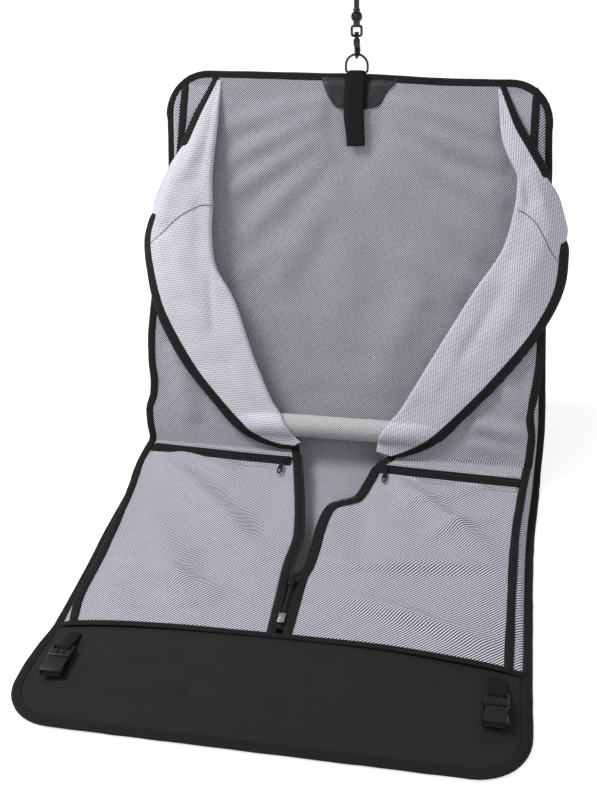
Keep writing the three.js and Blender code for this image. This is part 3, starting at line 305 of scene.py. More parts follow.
def sweep(name, path, side, normal, profile, material, closed=False, caps=True, widths=None):
    """A closed section carried along a path. The section's points are (across, up) in millimetres."""
    path, side, normal = (np.asarray(x, float) for x in (path, side, normal))
    count, sides = len(path), len(profile)
    shape = np.asarray(profile, float) / 1000
    scale = np.ones((count, 2)) if widths is None else np.asarray(widths, float)
    points = (
        path[:, None]
        + side[:, None] * (shape[None, :, 0] * scale[:, :1])[..., None]
        + normal[:, None] * (shape[None, :, 1] * scale[:, 1:])[..., None]
    ).reshape(-1, 3)
    run = np.concatenate([[0], np.cumsum(np.linalg.norm(np.diff(path, axis=0), axis=-1))])
    if closed:
        run = np.append(run, run[-1] + np.linalg.norm(path[0] - path[-1]))
    ring = np.concatenate([[0], np.cumsum(np.linalg.norm(np.diff(np.vstack([shape, shape[:1]]), axis=0), axis=-1))])
    faces, uvs, flat = [], [], []
    for i in range(count if closed else count - 1):
        n = (i + 1) % count
        for k in range(sides):
            m = (k + 1) % sides
            faces.append([i * sides + k, n * sides + k, n * sides + m, i * sides + m])
            uvs.append([(run[i], ring[k]), (run[i + 1], ring[k]), (run[i + 1], ring[k + 1]), (run[i], ring[k + 1])])
    if caps and not closed:
        for start, order in ((0, range(sides)), ((count - 1) * sides, range(sides - 1, -1, -1))):
            flat.append(len(faces))
            faces.append([start + k for k in order])
            uvs.append([(shape[k, 0], shape[k, 1]) for k in order])
    mesh = finish_mesh(name, points, faces, uvs, [0] * len(faces), [material], flat)
    facing_out(mesh)
    return mesh


def facing_out(obj):
    b = bmesh.new()
    b.from_mesh(obj.data)
    bmesh.ops.recalc_face_normals(b, faces=b.faces)
    b.to_mesh(obj.data)
    b.free()


def tape_section(width, thickness, dome=0.35):
    """A flat band with soft edges, higher in its middle."""
    half, t = width / 2, thickness / 2
    top = [(half * x, t * (1 - dome * x**4) * math.sqrt(max(0, 1 - abs(x) ** 14))) for x in np.linspace(-1, 1, 11)]
    bottom = [(half * x, -t * math.sqrt(max(0, 1 - abs(x) ** 14))) for x in np.linspace(0.96, -0.96, 9)]
    return top + bottom


def round_section(radius, sides=16, squash=1.0):
    return [
        (radius * math.cos(2 * math.pi * k / sides), squash * radius * math.sin(2 * math.pi * k / sides))
        for k in range(sides)
    ]


def frames(path, normal, closed=False):
    """Sideways vectors and true normals of a path near a given normal."""
    path = np.asarray(path, float)
    if closed:
        ahead = np.roll(path, -1, 0) - np.roll(path, 1, 0)
    else:
        ahead = np.gradient(path, axis=0)
    ahead /= np.linalg.norm(ahead, axis=-1, keepdims=True)
    normal = np.broadcast_to(np.asarray(normal, float), path.shape)
    side = np.cross(ahead, normal)
    side /= np.linalg.norm(side, axis=-1, keepdims=True)
    return side, np.cross(side, ahead)


def band(name, path, normal, width, thickness, material, closed=False, widths=None, dome=0.35):
    side, upward = frames(path, normal, closed)
    return sweep(name, path, side, upward, tape_section(width, thickness, dome), material, closed, True, widths)


def wire(name, path, radius, material, closed=False, sides=16, widths=None, normal=(0, 1, 0)):
    side, upward = frames(path, normal, closed)
    return sweep(name, path, side, upward, round_section(radius, sides), material, closed, True, widths)


def join(name, objects):
    """Several meshes as one piece."""
    main = bmesh.new()
    materials = []
    layer = main.loops.layers.uv.new("UVMap")
    for o in objects:
        part = bmesh.new()
        part.from_mesh(o.data)
        part.transform(o.matrix_world)
        held = part.loops.layers.uv.active
        slots = []
        for m in o.data.materials:
            if m not in materials:
                materials.append(m)
            slots.append(materials.index(m))
        made = [main.verts.new(v.co) for v in part.verts]
        part.verts.index_update()
        for f in part.faces:
            try:
                new = main.faces.new([made[v.index] for v in f.verts])
            except ValueError:
                continue
            new.smooth = f.smooth
            new.material_index = slots[f.material_index] if slots else 0
            if held:
                for a, b in zip(f.loops, new.loops):
                    b[layer].uv = a[held].uv
        part.free()
        bpy.data.objects.remove(o)
    mesh = bpy.data.meshes.new(name)
    main.to_mesh(mesh)
    main.free()
    for m in materials:
        mesh.materials.append(m)
    obj = bpy.data.objects.new(name, mesh)
    bpy.context.scene.collection.objects.link(obj)
    return obj


def box_uv(mesh):
    """Texture places in metres, from the side that each face looks to."""
    layer = mesh.uv_layers.get("UVMap") or mesh.uv_layers.new(name="UVMap")
    for f in mesh.polygons:
        n = [abs(x) for x in f.normal]
        keep = [k for k in range(3) if k != n.index(max(n))]
        for loop in f.loop_indices:
            co = mesh.vertices[mesh.loops[loop].vertex_index].co
            layer.data[loop].uv = (co[keep[0]], co[keep[1]])


def rounded(name, size, place, material, bevel=0.8, turn=(0, 0, 0), steps=3, taper=None):
    """A block with rounded edges. Sizes and place in millimetres."""
    b = bmesh.new()
    bmesh.ops.create_cube(b, size=1)
    for v in b.verts:
        v.co = Vector((v.co.x * size[0], v.co.y * size[1], v.co.z * size[2]))
        if taper and v.co.z > 0:
            v.co.x *= taper[0]
            v.co.y *= taper[1]
    bmesh.ops.bevel(b, geom=b.edges[:], offset=bevel, segments=steps, profile=0.5, affect="EDGES")
    b.transform(Matrix.Scale(0.001, 4))
    mesh = bpy.data.meshes.new(name)
    b.to_mesh(mesh)
    b.free()
    for f in mesh.polygons:
        f.use_smooth = True
    mesh.materials.append(material)
    box_uv(mesh)
    turned = Matrix.Rotation(turn[2], 4, "Z") @ Matrix.Rotation(turn[1], 4, "Y") @ Matrix.Rotation(turn[0], 4, "X")
    mesh.transform(Matrix.Translation(Vector(place) / 1000) @ turned)
    obj = bpy.data.objects.new(name, mesh)
    bpy.context.scene.collection.objects.link(obj)
    return obj


def lathe(name, profile, place, axis, material, sides=32):
    """A turned form from (radius, height) rows in millimetres about an axis."""
    axis = Vector(axis).normalized()
    turn = Vector((0, 0, 1)).rotation_difference(axis).to_matrix().to_4x4()
    points, faces, uvs = [], [], []
    for r, h in profile:
        for k in range(sides):
            a = 2 * math.pi * k / sides
            points.append(Vector((r * math.cos(a), r * math.sin(a), h)) / 1000)
    for i in range(len(profile) - 1):
        for k in range(sides):
            m = (k + 1) % sides
            faces.append([i * sides + k, i * sides + m, (i + 1) * sides + m, (i + 1) * sides + k])
            uvs.append([(k * 0.001, i * 0.001)] * 4)
    faces.append([k for k in range(sides - 1, -1, -1)])
    uvs.append([(0, 0)] * sides)
    faces.append([(len(profile) - 1) * sides + k for k in range(sides)])
    uvs.append([(0, 0)] * sides)
    flat = [len(faces) - 2, len(faces) - 1]
    obj = finish_mesh(name, points, faces, uvs, [0] * len(faces), [material], flat)
    facing_out(obj)
    obj.data.transform(Matrix.Translation(Vector(place) / 1000) @ turn)
    return obj


def stitches(name, path, normal, material, pitch=3.2, length=2.1, radius=0.32):
    """A row of small threads along a path, in one mesh."""
    path = np.asarray(path, float)
    run = np.concatenate([[0], np.cumsum(np.linalg.norm(np.diff(path, axis=0), axis=-1))])
    count = max(1, int(run[-1] / (pitch / 1000)))
    upward = frames(path, normal)[1]
    at = (np.arange(count) + 0.5) / count * run[-1]
    spot = np.stack([np.interp(at, run, path[:, k]) for k in range(3)], -1)
    ahead = np.stack([np.interp(at, run, np.gradient(path, axis=0)[:, k]) for k in range(3)], -1)
    ahead /= np.linalg.norm(ahead, axis=-1, keepdims=True)
    lift = np.stack([np.interp(at, run, upward[:, k]) for k in range(3)], -1)
    across = np.cross(ahead, lift)
    points, faces = [], []
    ring = [(0.4, -0.5), (1.0, -0.28), (1.0, 0.28), (0.4, 0.5)]
    for i in range(count):
        base = len(points)
        for r, x in ring:
            for k in range(6):
                a = 2 * math.pi * k / 6
                points.append(
                    spot[i] + ahead[i] * x * length / 1000
                    + (across[i] * math.cos(a) + lift[i] * math.sin(a)) * r * radius / 1000
                )
        for q in range(3):
            for k in range(6):
                m = (k + 1) % 6
                faces.append([base + q * 6 + k, base + q * 6 + m, base + q * 6 + 6 + m, base + q * 6 + 6 + k])
        faces.append([base + k for k in range(5, -1, -1)])
        faces.append([base + 18 + k for k in range(6)])
    obj = finish_mesh(name, points, faces, None, [0] * len(faces), [material])
    facing_out(obj)
    return obj


def teeth(name, path, normal, material, pitch=2.0, width=4.4, height=1.6, length=1.35):
    """The coil of a zip: small rounded bars across a path."""
    path = np.asarray(path, float)
    run = np.concatenate([[0], np.cumsum(np.linalg.norm(np.diff(path, axis=0), axis=-1))])
    count = max(1, int(run[-1] / (pitch / 1000)))
    side, upward = frames(path, normal)
    points, faces = [], []
    for i in range(count):
        at = (i + 0.5) / count * run[-1]
        spot = np.array([np.interp(at, run, path[:, k]) for k in range(3)])
        a = np.array([np.interp(at, run, side[:, k]) for k in range(3)])
        n = np.array([np.interp(at, run, upward[:, k]) for k in range(3)])
        f = np.cross(n, a)
        base = len(points)
        for x, r in ((-0.5, 0.45), (-0.36, 1), (0, 1.15), (0.36, 1), (0.5, 0.45)):
            for k in range(6):
                t = 2 * math.pi * k / 6
                points.append(
                    spot + a * x * width / 1000
                    + f * r * math.cos(t) * length / 2000
                    + n * r * math.sin(t) * height / 2000
                )
        for q in range(4):
            for k in range(6):
                m = (k + 1) % 6
                faces.append([base + q * 6 + k, base + q * 6 + m, base + q * 6 + 6 + m, base + q * 6 + 6 + k])
        faces.append([base + k for k in range(5, -1, -1)])
        faces.append([base + 24 + k for k in range(6)])
    obj = finish_mesh(name, points, faces, None, [0] * len(faces), [material])
    facing_out(obj)
    return obj


# Materials
class Look:
    """A node material, built on texture places in metres."""

    def __init__(self, name, roughness=0.8, metallic=0.0, sheen=0.0, specular=0.5):
        self.material = bpy.data.materials.new(name)
        self.material.use_nodes = True
        self.tree = self.material.node_tree
        self.shader = self.tree.nodes["Principled BSDF"]
        self.shader.inputs["Roughness"].default_value = roughness
        self.shader.inputs["Metallic"].default_value = metallic
        self.shader.inputs["Specular IOR Level"].default_value = specular
        if sheen:
            self.shader.inputs["Sheen Weight"].default_value = sheen
            self.shader.inputs["Sheen Roughness"].default_value = 0.5
        uv = self.tree.nodes.new("ShaderNodeUVMap")
        uv.uv_map = "UVMap"
        split = self.tree.nodes.new("ShaderNodeSeparateXYZ")
        self.link(uv.outputs[0], split.inputs[0])
        self.uv, self.x, self.y = uv.outputs[0], split.outputs[0], split.outputs[1]

    def link(self, a, b):
        self.tree.links.new(a, b)

    def put(self, value, socket):
        if isinstance(value, bpy.types.NodeSocket):
            self.link(value, socket)
        else:
            socket.default_value = value

    def math(self, kind, a, b=0.0, c=None, clamp=False):
        node = self.tree.nodes.new("ShaderNodeMath")
        node.operation = kind
        node.use_clamp = clamp
        self.put(a, node.inputs[0])
        self.put(b, node.inputs[1])
        if c is not None:
            self.put(c, node.inputs[2])
        return node.outputs[0]

    def wave(self, place, pitch, shift=0.0):
        """A sine of the given pitch in metres, from 0 to 1."""
        turned = self.math("MULTIPLY_ADD", place, 2 * math.pi / pitch, shift)
        return self.math("MULTIPLY_ADD", self.math("SINE", turned), 0.5, 0.5)

    def step(self, value, low, high):
        node = self.tree.nodes.new("ShaderNodeMapRange")
        node.interpolation_type = "SMOOTHSTEP"
        self.put(value, node.inputs["Value"])
        node.inputs["From Min"].default_value = low
        node.inputs["From Max"].default_value = high
        return node.outputs["Result"]

    def noise(self, scale, detail=3.0, stretch=None, place=None):
        source = place or self.object_place()
        if stretch:
            mapping = self.tree.nodes.new("ShaderNodeMapping")
            mapping.inputs["Scale"].default_value = stretch
            self.link(source, mapping.inputs["Vector"])
            source = mapping.outputs[0]
        node = self.tree.nodes.new("ShaderNodeTexNoise")
        node.inputs["Scale"].default_value = scale
        node.inputs["Detail"].default_value = detail
        self.link(source, node.inputs["Vector"])
        return node.outputs["Fac"]

    def object_place(self):
        if not hasattr(self, "_place"):
            self._place = self.tree.nodes.new("ShaderNodeTexCoord").outputs["Object"]
        return self._place

    def mix(self, share, a, b):
        node = self.tree.nodes.new("ShaderNodeMix")
        node.data_type = "RGBA"
        self.put(share, node.inputs[0])
        self.put((*a, 1) if isinstance(a, tuple) and len(a) == 3 else a, node.inputs[6])
        self.put((*b, 1) if isinstance(b, tuple) and len(b) == 3 else b, node.inputs[7])
        return node.outputs[2]

    def color(self, value):
        self.put((*value, 1) if isinstance(value, tuple) else value, self.shader.inputs["Base Color"])

    def rough(self, value):
        self.put(value, self.shader.inputs["Roughness"])

    def bump(self, height, distance, strength=1.0):
        node = self.tree.nodes.new("ShaderNodeBump")
        node.inputs["Strength"].default_value = strength
        node.inputs["Distance"].default_value = distance
        self.put(height, node.inputs["Height"])
        self.link(node.outputs[0], self.shader.inputs["Normal"])


def dotted_cloth(name, light, dark, pitch=0.0046, cross=0.2, tone=0.12):
    """Open mesh with rows of small dark holes, whose rows rise to the right, crossed by weaker ones."""
    look = Look(name, roughness=0.85, specular=0.2)
    a = look.wave(look.math("ADD", look.x, look.y), pitch)
    b = look.wave(look.math("SUBTRACT", look.x, look.y), pitch)
    field = look.math("MULTIPLY_ADD", a, 1 - cross, look.math("MULTIPLY", b, cross))
    hole = look.step(field, 0.4, 0.6)
    cloudy = look.noise(14.0, 2.0)
    base = look.mix(look.math("MULTIPLY", cloudy, tone * 2), light, tuple(c * 0.75 for c in light))
    look.color(look.mix(hole, base, dark))
    look.bump(look.math("SUBTRACT", 1.0, hole), 0.0003, 0.35)
    return look.material


def striped_cloth(name, light, dark, across, pitch=0.0035, lean=0.0):
    """The mesh's smoother side, with fine ribs broken into short dashes."""
    look = Look(name, roughness=0.8, specular=0.2)
    one, other = (look.x, look.y) if across else (look.y, look.x)
    waver = look.math("MULTIPLY", look.noise(4.0, 1.0), 0.012)
    turned = look.math("MULTIPLY_ADD", other, lean, one)
    rib = look.wave(look.math("ADD", turned, waver), pitch)
    dash = look.wave(look.math("MULTIPLY_ADD", one, 0.6, other), pitch * 2.3)
    line = look.step(rib, 0.3, 0.7)
    share = look.math("MULTIPLY", line, look.math("MULTIPLY_ADD", dash, 0.35, 0.65))
    look.color(look.mix(share, light, dark))
    look.bump(look.math("SUBTRACT", 1.0, line), 0.0002, 0.3)
    return look.material


def weave(name, color, rough=0.7, pitch=0.0011, tone=0.35, strength=0.7, fine=0.00025):
    """Plain woven nylon."""
    look = Look(name, roughness=rough, specular=0.25)
    a, b = look.wave(look.x, pitch), look.wave(look.y, pitch)
    checker = look.math("ABSOLUTE", look.math("SUBTRACT", a, b))
    cloudy = look.noise(9.0, 3.0)
    low = tuple(c * (1 - tone) for c in color)
    high = tuple(c * (1 + tone) for c in color)
    look.color(look.mix(look.math("MULTIPLY_ADD", cloudy, 0.5, look.math("MULTIPLY", checker, 0.5)), low, high))
    look.rough(look.math("MULTIPLY_ADD", cloudy, 0.2, rough - 0.1))
    look.bump(checker, fine, strength)
    return look.material


def tape(name, color, rough=0.7, edge_rows=(), thread=(0.03, 0.03, 0.032), rib=0.0012):
    """Woven tape with ribs across it and rows of stitches along it."""
    look = Look(name, roughness=rough, specular=0.2)
    ribs = look.wave(look.x, rib)
    lines = look.wave(look.y, rib * 1.4)
    cloudy = look.noise(20.0, 2.0)
    body = look.mix(look.math("MULTIPLY_ADD", ribs, 0.5, look.math("MULTIPLY", cloudy, 0.5)),
                    tuple(c * 0.7 for c in color), tuple(c * 1.5 for c in color))
    height = look.math("MULTIPLY_ADD", lines, 0.5, ribs)
    for row in edge_rows:
        near = look.math("ABSOLUTE", look.math("SUBTRACT", look.y, row))
        on = look.math("SUBTRACT", 1.0, look.step(near, 0.0003, 0.0006))
        dash = look.step(look.wave(look.x, 0.0034), 0.3, 0.5)
        stitch = look.math("MULTIPLY", on, dash)
        body = look.mix(stitch, body, thread)
        height = look.math("MULTIPLY_ADD", on, -1.5, height)
        height = look.math("MULTIPLY_ADD", stitch, 2.4, height)
    look.color(body)
    look.bump(height, 0.0002, 0.8)
    return look.material


def metal(name, color, rough=0.3):
    look = Look(name, roughness=rough, metallic=1.0)
    worn = look.noise(60.0, 4.0)
    fine = look.noise(900.0, 2.0)
    look.color(look.mix(worn, tuple(c * 0.8 for c in color), tuple(c * 1.25 for c in color)))
    look.rough(look.math("MULTIPLY_ADD", worn, 0.2, rough - 0.08))
    look.bump(fine, 0.00005, 0.25)
    return look.material


def moulded(name, color, rough=0.45):
    look = Look(name, roughness=rough, specular=0.45)
    grain = look.noise(1800.0, 2.0)
    worn = look.noise(40.0, 3.0)
    look.color(look.mix(worn, color, tuple(c * 1.5 for c in color)))
    look.rough(look.math("MULTIPLY_ADD", worn, 0.18, rough - 0.08))
    look.bump(grain, 0.00006, 0.4)
    return look.material


def leather(name, color):
    look = Look(name, roughness=0.42, specular=0.5)
    cells = look.tree.nodes.new("ShaderNodeTexVoronoi")
    cells.inputs["Scale"].default_value = 900
    look.link(look.object_place(), cells.inputs["Vector"])
    worn = look.noise(25.0, 4.0)
    look.color(look.mix(worn, tuple(c * 0.8 for c in color), tuple(c * 1.3 for c in color)))
    look.rough(look.math("MULTIPLY_ADD", worn, 0.2, 0.34))
    look.bump(cells.outputs["Distance"], 0.00015, 0.5)
    return look.material


MESH_LIGHT, MESH_DARK = (0.84, 0.825, 0.93), (0.035, 0.033, 0.045)
MESH = dotted_cloth("mesh_cloth", MESH_LIGHT, MESH_DARK)
# Both flaps show the same inner side of the mesh; the right flap's copy (along) has lower tones, which is painted
# shade.
MESH_INSIDE_ACROSS = striped_cloth("mesh_inside_across", (0.87, 0.835, 0.94), (0.47, 0.445, 0.53), False,
                                   0.0035, 0.15)
MESH_INSIDE_ALONG_SHADED = striped_cloth("mesh_inside_along_shaded", (0.8, 0.765, 0.88), (0.38, 0.36, 0.43), True, 0.00345)
LINING = dotted_cloth("lining_mesh", (0.78, 0.76, 0.84), (0.03, 0.028, 0.038), 0.0036, 0.25, 0.2)
PAD = dotted_cloth("roll_mesh", (0.93, 0.9, 0.92), (0.2, 0.195, 0.2), 0.0034, 0.5, 0.05)
NYLON = weave("black_nylon", (0.0165, 0.016, 0.0175))
SHELL = weave("shell_nylon", (0.016, 0.0155, 0.0175), pitch=0.0014)
BINDING = tape("binding_tape", (0.0095, 0.009, 0.0098), edge_rows=(0.0018, 0.0102))
THIN_BINDING = tape("thin_binding", (0.009, 0.0085, 0.0093), edge_rows=(0.0017, 0.0093))
ZIP_TAPE = tape("zip_tape", (0.009, 0.0088, 0.0095), edge_rows=(0.0016,), rib=0.0009)
WEBBING = tape("webbing", (0.0058, 0.0056, 0.006), rib=0.0016, edge_rows=())
COIL = moulded("zip_coil", (0.008, 0.008, 0.009), 0.4)
PLASTIC = moulded("black_plastic", (0.004, 0.004, 0.0042), 0.34)
GUNMETAL = metal("gunmetal", (0.045, 0.045, 0.048), 0.26)
BRIGHT = metal("bright_metal", (0.55, 0.55, 0.54), 0.28)
PATCH = leather("patch_leather", (0.026, 0.024, 0.03))
THREAD = moulded("black_thread", (0.018, 0.0175, 0.019), 0.7)
PALE_THREAD = moulded("pale_thread", (0.5, 0.49, 0.53), 0.7)


# The two halves' back


def plain_cloth(name, color):
    """The mesh seen as one tone, for cloth that a pose stretches too far to carry its weave."""
    look = Look(name, roughness=0.85, specular=0.2)
    look.color(look.mix(look.noise(30.0, 2.0), color, tuple(c * 0.82 for c in color)))
    return look.material


CREASE_BACK = plain_cloth("crease_back", (0.47, 0.46, 0.52))


def along_places(start, end, step=9.0, dense_to=0.0, dense_from=1e9):
    """Places along the bag, closer together in the rounded corners and round the fold."""
    places, s = [], start
    while s < end - 1:
        places.append(s)
        near = s < dense_to or s > dense_from or UPPER_LENGTH - 12 < s < LOWER_START + 12
        s += step / 2.5 if near else step
    places.append(end)
    return np.array(places)


def full_rows(inset, cols, start=3.0, end=LENGTH - 3.0, step=9.0):
    s = along_places(start, end, step, 40, LENGTH - 40)
    left = half_width(-1, s) - inset
    right = half_width(1, s) - inset
    t = np.linspace(0, 1, cols)
    u = -left[:, None] + (left + right)[:, None] * t[None]
    return u, np.broadcast_to(s[:, None], u.shape)


def over_fold(obj, *nodes, slot=None):
    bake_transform(obj)
    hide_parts(*nodes)
    return obj


def on(obj, body, *nodes, slot=None):
    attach(obj, body)
    if nodes:
        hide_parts(*nodes)
    return obj


def make_shell():
    u, s = full_rows(3.0, 61, step=12)
    wave = 0.5 + 0.5 * bumps(u, s, 90, 3)
    inside = np.minimum(1, np.minimum(HALF_WIDTH - np.abs(u), np.minimum(s, LENGTH - s)) / 40)
    d = 1.1 + 0.9 * wave * np.clip(inside, 0, 1)
    obj = cloth("back_shell", bag(u, s, d), 1.3, [SHELL, SHELL], np.stack([u, s], -1) / 1000, (0, -0.7, 0.7))
    over_fold(obj, "back_shell_upper", "back_shell_lower", "fold_shell", slot="shell")


LINING_FOLDS = [
    ((-35, 38), (-215, 88), 14, 7.0), ((-40, 62), (-212, 140), 15, 8.5), ((-40, 88), (-195, 185), 16, 8.5),
    ((-30, 110), (-170, 250), 19, 8.0), ((-15, 140), (-115, 330), 24, 7.0), ((-60, 52), (-150, 68), 9, -3.0),
    ((40, 34), (218, 78), 14, 7.0), ((45, 58), (235, 128), 15, 8.5), ((45, 85), (238, 190), 17, 8.5),
    ((40, 110), (210, 265), 20, 8.0), ((20, 140), (130, 340), 24, 7.0), ((110, 110), (225, 150), 9, -3.0),
    ((-10, 170), (10, 420), 36, 5.0), ((-120, 300), (-40, 480), 26, 5.0), ((120, 310), (50, 480), 26, 5.0),
    ((90, 250), (180, 330), 18, 4.0), ((-90, 240), (-180, 320), 18, 4.0),
]


def make_lining():
    u, s = full_rows(9.0, 111, 10.0, LENGTH - 10.0, 7)
    rise = np.zeros_like(u)
    for a, b, width, height in LINING_FOLDS:
        rise += fold(u, s, a, b, width, height)
    rise += 1.4 * bumps(u, s, 55, 11) + 0.7 * bumps(u, s, 23, 12)
    lower = fold(u, s, (-20, LOWER_START + 60), (-30, LOWER_START + 300), 26, 4) + fold(
        u, s, (10, LOWER_START + 40), (20, LOWER_START + 260), 18, 3)
    rise += lower
    inside = np.clip(np.minimum(HALF_WIDTH - np.abs(u), np.minimum(s, LENGTH - s)) / 45, 0, 1)
    near_fold = 1 - 0.7 * np.exp(-(((s - UPPER_LENGTH - FOLD_LENGTH / 2) / 50) ** 2))
    under = np.clip(rise, -0.6, 12) * inside * near_fold
    d = 3.6 + under
    obj = cloth("back_lining", bag(u, s, d), 1.0, [LINING, LINING], np.stack([u, s], -1) / 1000, (0, -0.7, 0.7))
    over_fold(obj, "back_lining_upper", "back_lining_lower", "fold_lining", slot="lining")


def outline_path(inset):
    """The closed outline, from the left of the fold up, round the top, and back round the bottom."""
    r = CORNER_RADIUS - inset
    points = []
    for s in np.arange(LOWER_START, CORNER_RADIUS, -9.0):
        points.append((-(half_width(-1, s) - inset), s))
    for k in range(13):
        a = math.pi / 2 * k / 12
        points.append((-(HALF_WIDTH + EDGE[-1](0) - CORNER_RADIUS + r * math.cos(a)),
                       CORNER_RADIUS - r * math.sin(a)))
    for x in np.linspace(-225, 225, 44):
        points.append((x, inset))
    for k in range(13):
        a = math.pi / 2 * (1 - k / 12)
        points.append((HALF_WIDTH + EDGE[1](0) - CORNER_RADIUS + r * math.cos(a), CORNER_RADIUS - r * math.sin(a)))
    for s in np.arange(CORNER_RADIUS + 9, LENGTH - CORNER_RADIUS, 9.0):
        points.append((half_width(1, s) - inset, s))
    for k in range(13):
        a = math.pi / 2 * k / 12
        points.append((HALF_WIDTH + EDGE[1](LENGTH) - CORNER_RADIUS + r * math.cos(a),
                       LENGTH - CORNER_RADIUS + r * math.sin(a)))
    for x in np.linspace(225, -225, 44):
        points.append((x, LENGTH - inset))
    for k in range(13):
        a = math.pi / 2 * (1 - k / 12)
        points.append((-(HALF_WIDTH + EDGE[-1](LENGTH) - CORNER_RADIUS + r * math.cos(a)),
                       LENGTH - CORNER_RADIUS + r * math.sin(a)))
    for s in np.arange(LENGTH - CORNER_RADIUS - 9, LOWER_START + 4, -9.0):
        points.append((-(half_width(-1, s) - inset), s))
    return np.array(points)


SEAM_THREAD = moulded("seam_thread", (0.11, 0.105, 0.125), 0.7)


def make_outer_binding():
    p = outline_path(6.0)
    fine = []
    for a, b in zip(p, np.roll(p, -1, 0)):
        parts = 3 if UPPER_LENGTH - 20 < a[1] < LOWER_START + 20 else 1
        for k in range(parts):
            fine.append(a + (b - a) * k / parts)
    p = np.array(fine)
    d = 2.9 + 0.25 * bumps(p[:, 0], p[:, 1], 30, 21)
    path = bag(p[:, 0], p[:, 1], d)
    normal = normal_at(p[:, 1])
    size = 1 + 0.05 * bumps(p[:, 0], p[:, 1], 17, 22) + 0.14 * ease(p[:, 1], 560, 700)
    widths = np.stack([size, size], -1)
    obj = band("outer_binding", path, normal, 12.0, 5.2, BINDING, True, widths, 0.5)
    over_fold(obj, "binding_upper", "binding_lower", "fold_binding_left", "fold_binding_right", slot="binding")


SEAM_PLACE = {
    -1: curve([(13, 270), (123, 270), (200, 276), (300, 294), (372, 302), (403, 302), (452, 299), (483, 294), (500, 294),
               (525, 300), (550, 297), (573, 292), (628, 293), (681, 292), (743, 286), (802, 282.5), (853, 281),
               (901, 280), (931, 281.5), (960, 282.5), (987, 281), (1027, 273)]),
    1: curve([(13, 271), (123, 273), (260, 282), (330, 296), (372, 302), (415, 302), (470, 297), (495, 293.5), (532, 298),
              (573, 296), (614, 294), (655, 290), (766, 280.5), (881, 277.5), (980, 277), (1042, 276.5)]),
}

NAMES = {-1: "left", 1: "right"}
SEAM_END = LOWER_START + SEAM


def seam_at(side, s):
    """Place across of the side seam, which meets the outer binding in the top corner."""
    return np.minimum(SEAM_PLACE[side](s), half_width(side, s) - 7)


def pressed(s):
    """Share of its height that the folded flap takes off the side under it."""
    return 0.22 * ease(s, 150, 230) * (1 - ease(s, 340, 420))


def seam_height(side, s):
    return front_height(seam_at(side, s), s) * (1 - pressed(s))


def make_sides():
    for side, name in NAMES.items():
        s = along_places(15.0, SEAM_END, 8, 60)
        h = seam_height(side, s) + 0.5 * bumps(s, 0 * s, 30, 31 + side) * ease(s, 15, 50)
        path = bag(side * seam_at(side, s), s, h + 0.6 - 1.3 * (1 - ease(s, 18, 34)))
        widths = np.stack([1 + 0.06 * bumps(s, 0 * s, 18, 33 + side)] * 2, -1)
        obj = band("inner_binding_" + name, path, normal_at(s), 12.0, 3.8, THIN_BINDING, False, widths, 0.5)
        over_fold(obj, "inner_binding_upper_" + name, "inner_binding_lower_" + name, slot="binding")
        s = along_places(22.0, SEAM_END, 8)
        h = seam_height(side, s)
        t = np.linspace(0, 1, 9)[None]
        inner = (seam_at(side, s) + 2.5)[:, None]
        gap = (half_width(side, s) - 11.0)[:, None] - inner
        slouch = 1 + 0.25 * bumps(s, 0 * s, 60, 35 + side)[:, None]
        u = inner + gap * np.cos(t * math.pi / 2) ** (0.8 * slouch)
        low = 3.9
        d = low + (h[:, None] - 1.2 - low) * np.sin(t * math.pi / 2) ** 1.3
        d = d + 1.2 * np.sin(t * math.pi) * bumps(np.broadcast_to(s[:, None], u.shape), u * 3, 28, 37 + side)
        d = np.maximum(d, 3.3)
        ss = np.broadcast_to(s[:, None], u.shape)
        obj = cloth("gusset_" + name, bag(side * u, ss, d), 0.9, [MESH, MESH], np.stack([side * u, ss], -1) / 1000)
        over_fold(obj, "gusset_upper_" + name, "gusset_lower_" + name, slot="cloth")


# Folded-back flaps


FLAPS = {-1: "flap_left", 1: "flap_right"}


def flap_base(out, v):
    """The height of what the flap lies on, evened out where it passes over the bag's side."""
    total = 0
    for step in (-20, -12, -4, 4, 12, 20):
        at = out + step
        total = total + upper_height(at, v) - np.maximum(at - 300, 0) * 0.9
    return total / 6


CREASE_LINE = {
    -1: [(213, -1), (216, 60), (219, 115), (220, 155), (217, 200), (216, 245), (206, 296), (174, 347), (140, 430), (108, 496),
         (95, 514), (84, 530), (75, 543), (66, 554), (56, 562)],
    1: [(214, 4), (226, 74), (240, 112), (257, 150), (255, 192), (241, 253), (206, 312), (172, 374), (138, 438), (106, 498),
        (94, 514), (84, 528), (76, 541), (72, 554), (70, 567)],
}

EDGE_LINE = {
    -1: [(224, -2), (250, 57), (272, 115), (297, 172), (314, 215), (326, 258), (318, 305), (293, 375), (243, 454), (185, 518),
         (163, 539), (146, 552), (126, 562), (100, 570), (68, 575)],
    1: [(223, 3), (252, 62), (278, 103), (300, 140), (322, 195), (335, 250), (330, 312), (298, 380), (246, 452), (192, 514),
        (172, 536), (156, 549), (138, 560), (120, 568), (101, 575)],
}

FLAP_STARTS = (0.12, 1.0, 3.0, 6.0, 9.0)
FOOT_END = 14.0
ROLL_STEPS = 11
BILLOW = {-1: (2.15, 3.9), 1: (3.3, 4.6)}
EDGE_WIDTH = curve([(0, 8), (1.2, 13), (3, 14), (5, 15.5), (7, 17), (9, 17), (11, 16), (13, 13.5), (14, 12.5)])


def billow(side, t):
    """Where the cloth swells out past its binding, from 0 to 1."""
    first, last = BILLOW[side]
    return ease(t, first - 0.4, first + 0.3) * (1 - ease(t, last - 0.3, last + 0.4))


def flap_point(side, t, share):
    """A place on the flap by its station from the top and its share from crease to edge, with the height under it."""
    c, e = route(CREASE_LINE[side])(t), route(EDGE_LINE[side])(t)
    out = c[0] + (e[0] - c[0]) * share
    v = c[1] + (e[1] - c[1]) * share
    return out, v, flap_base(out, v)


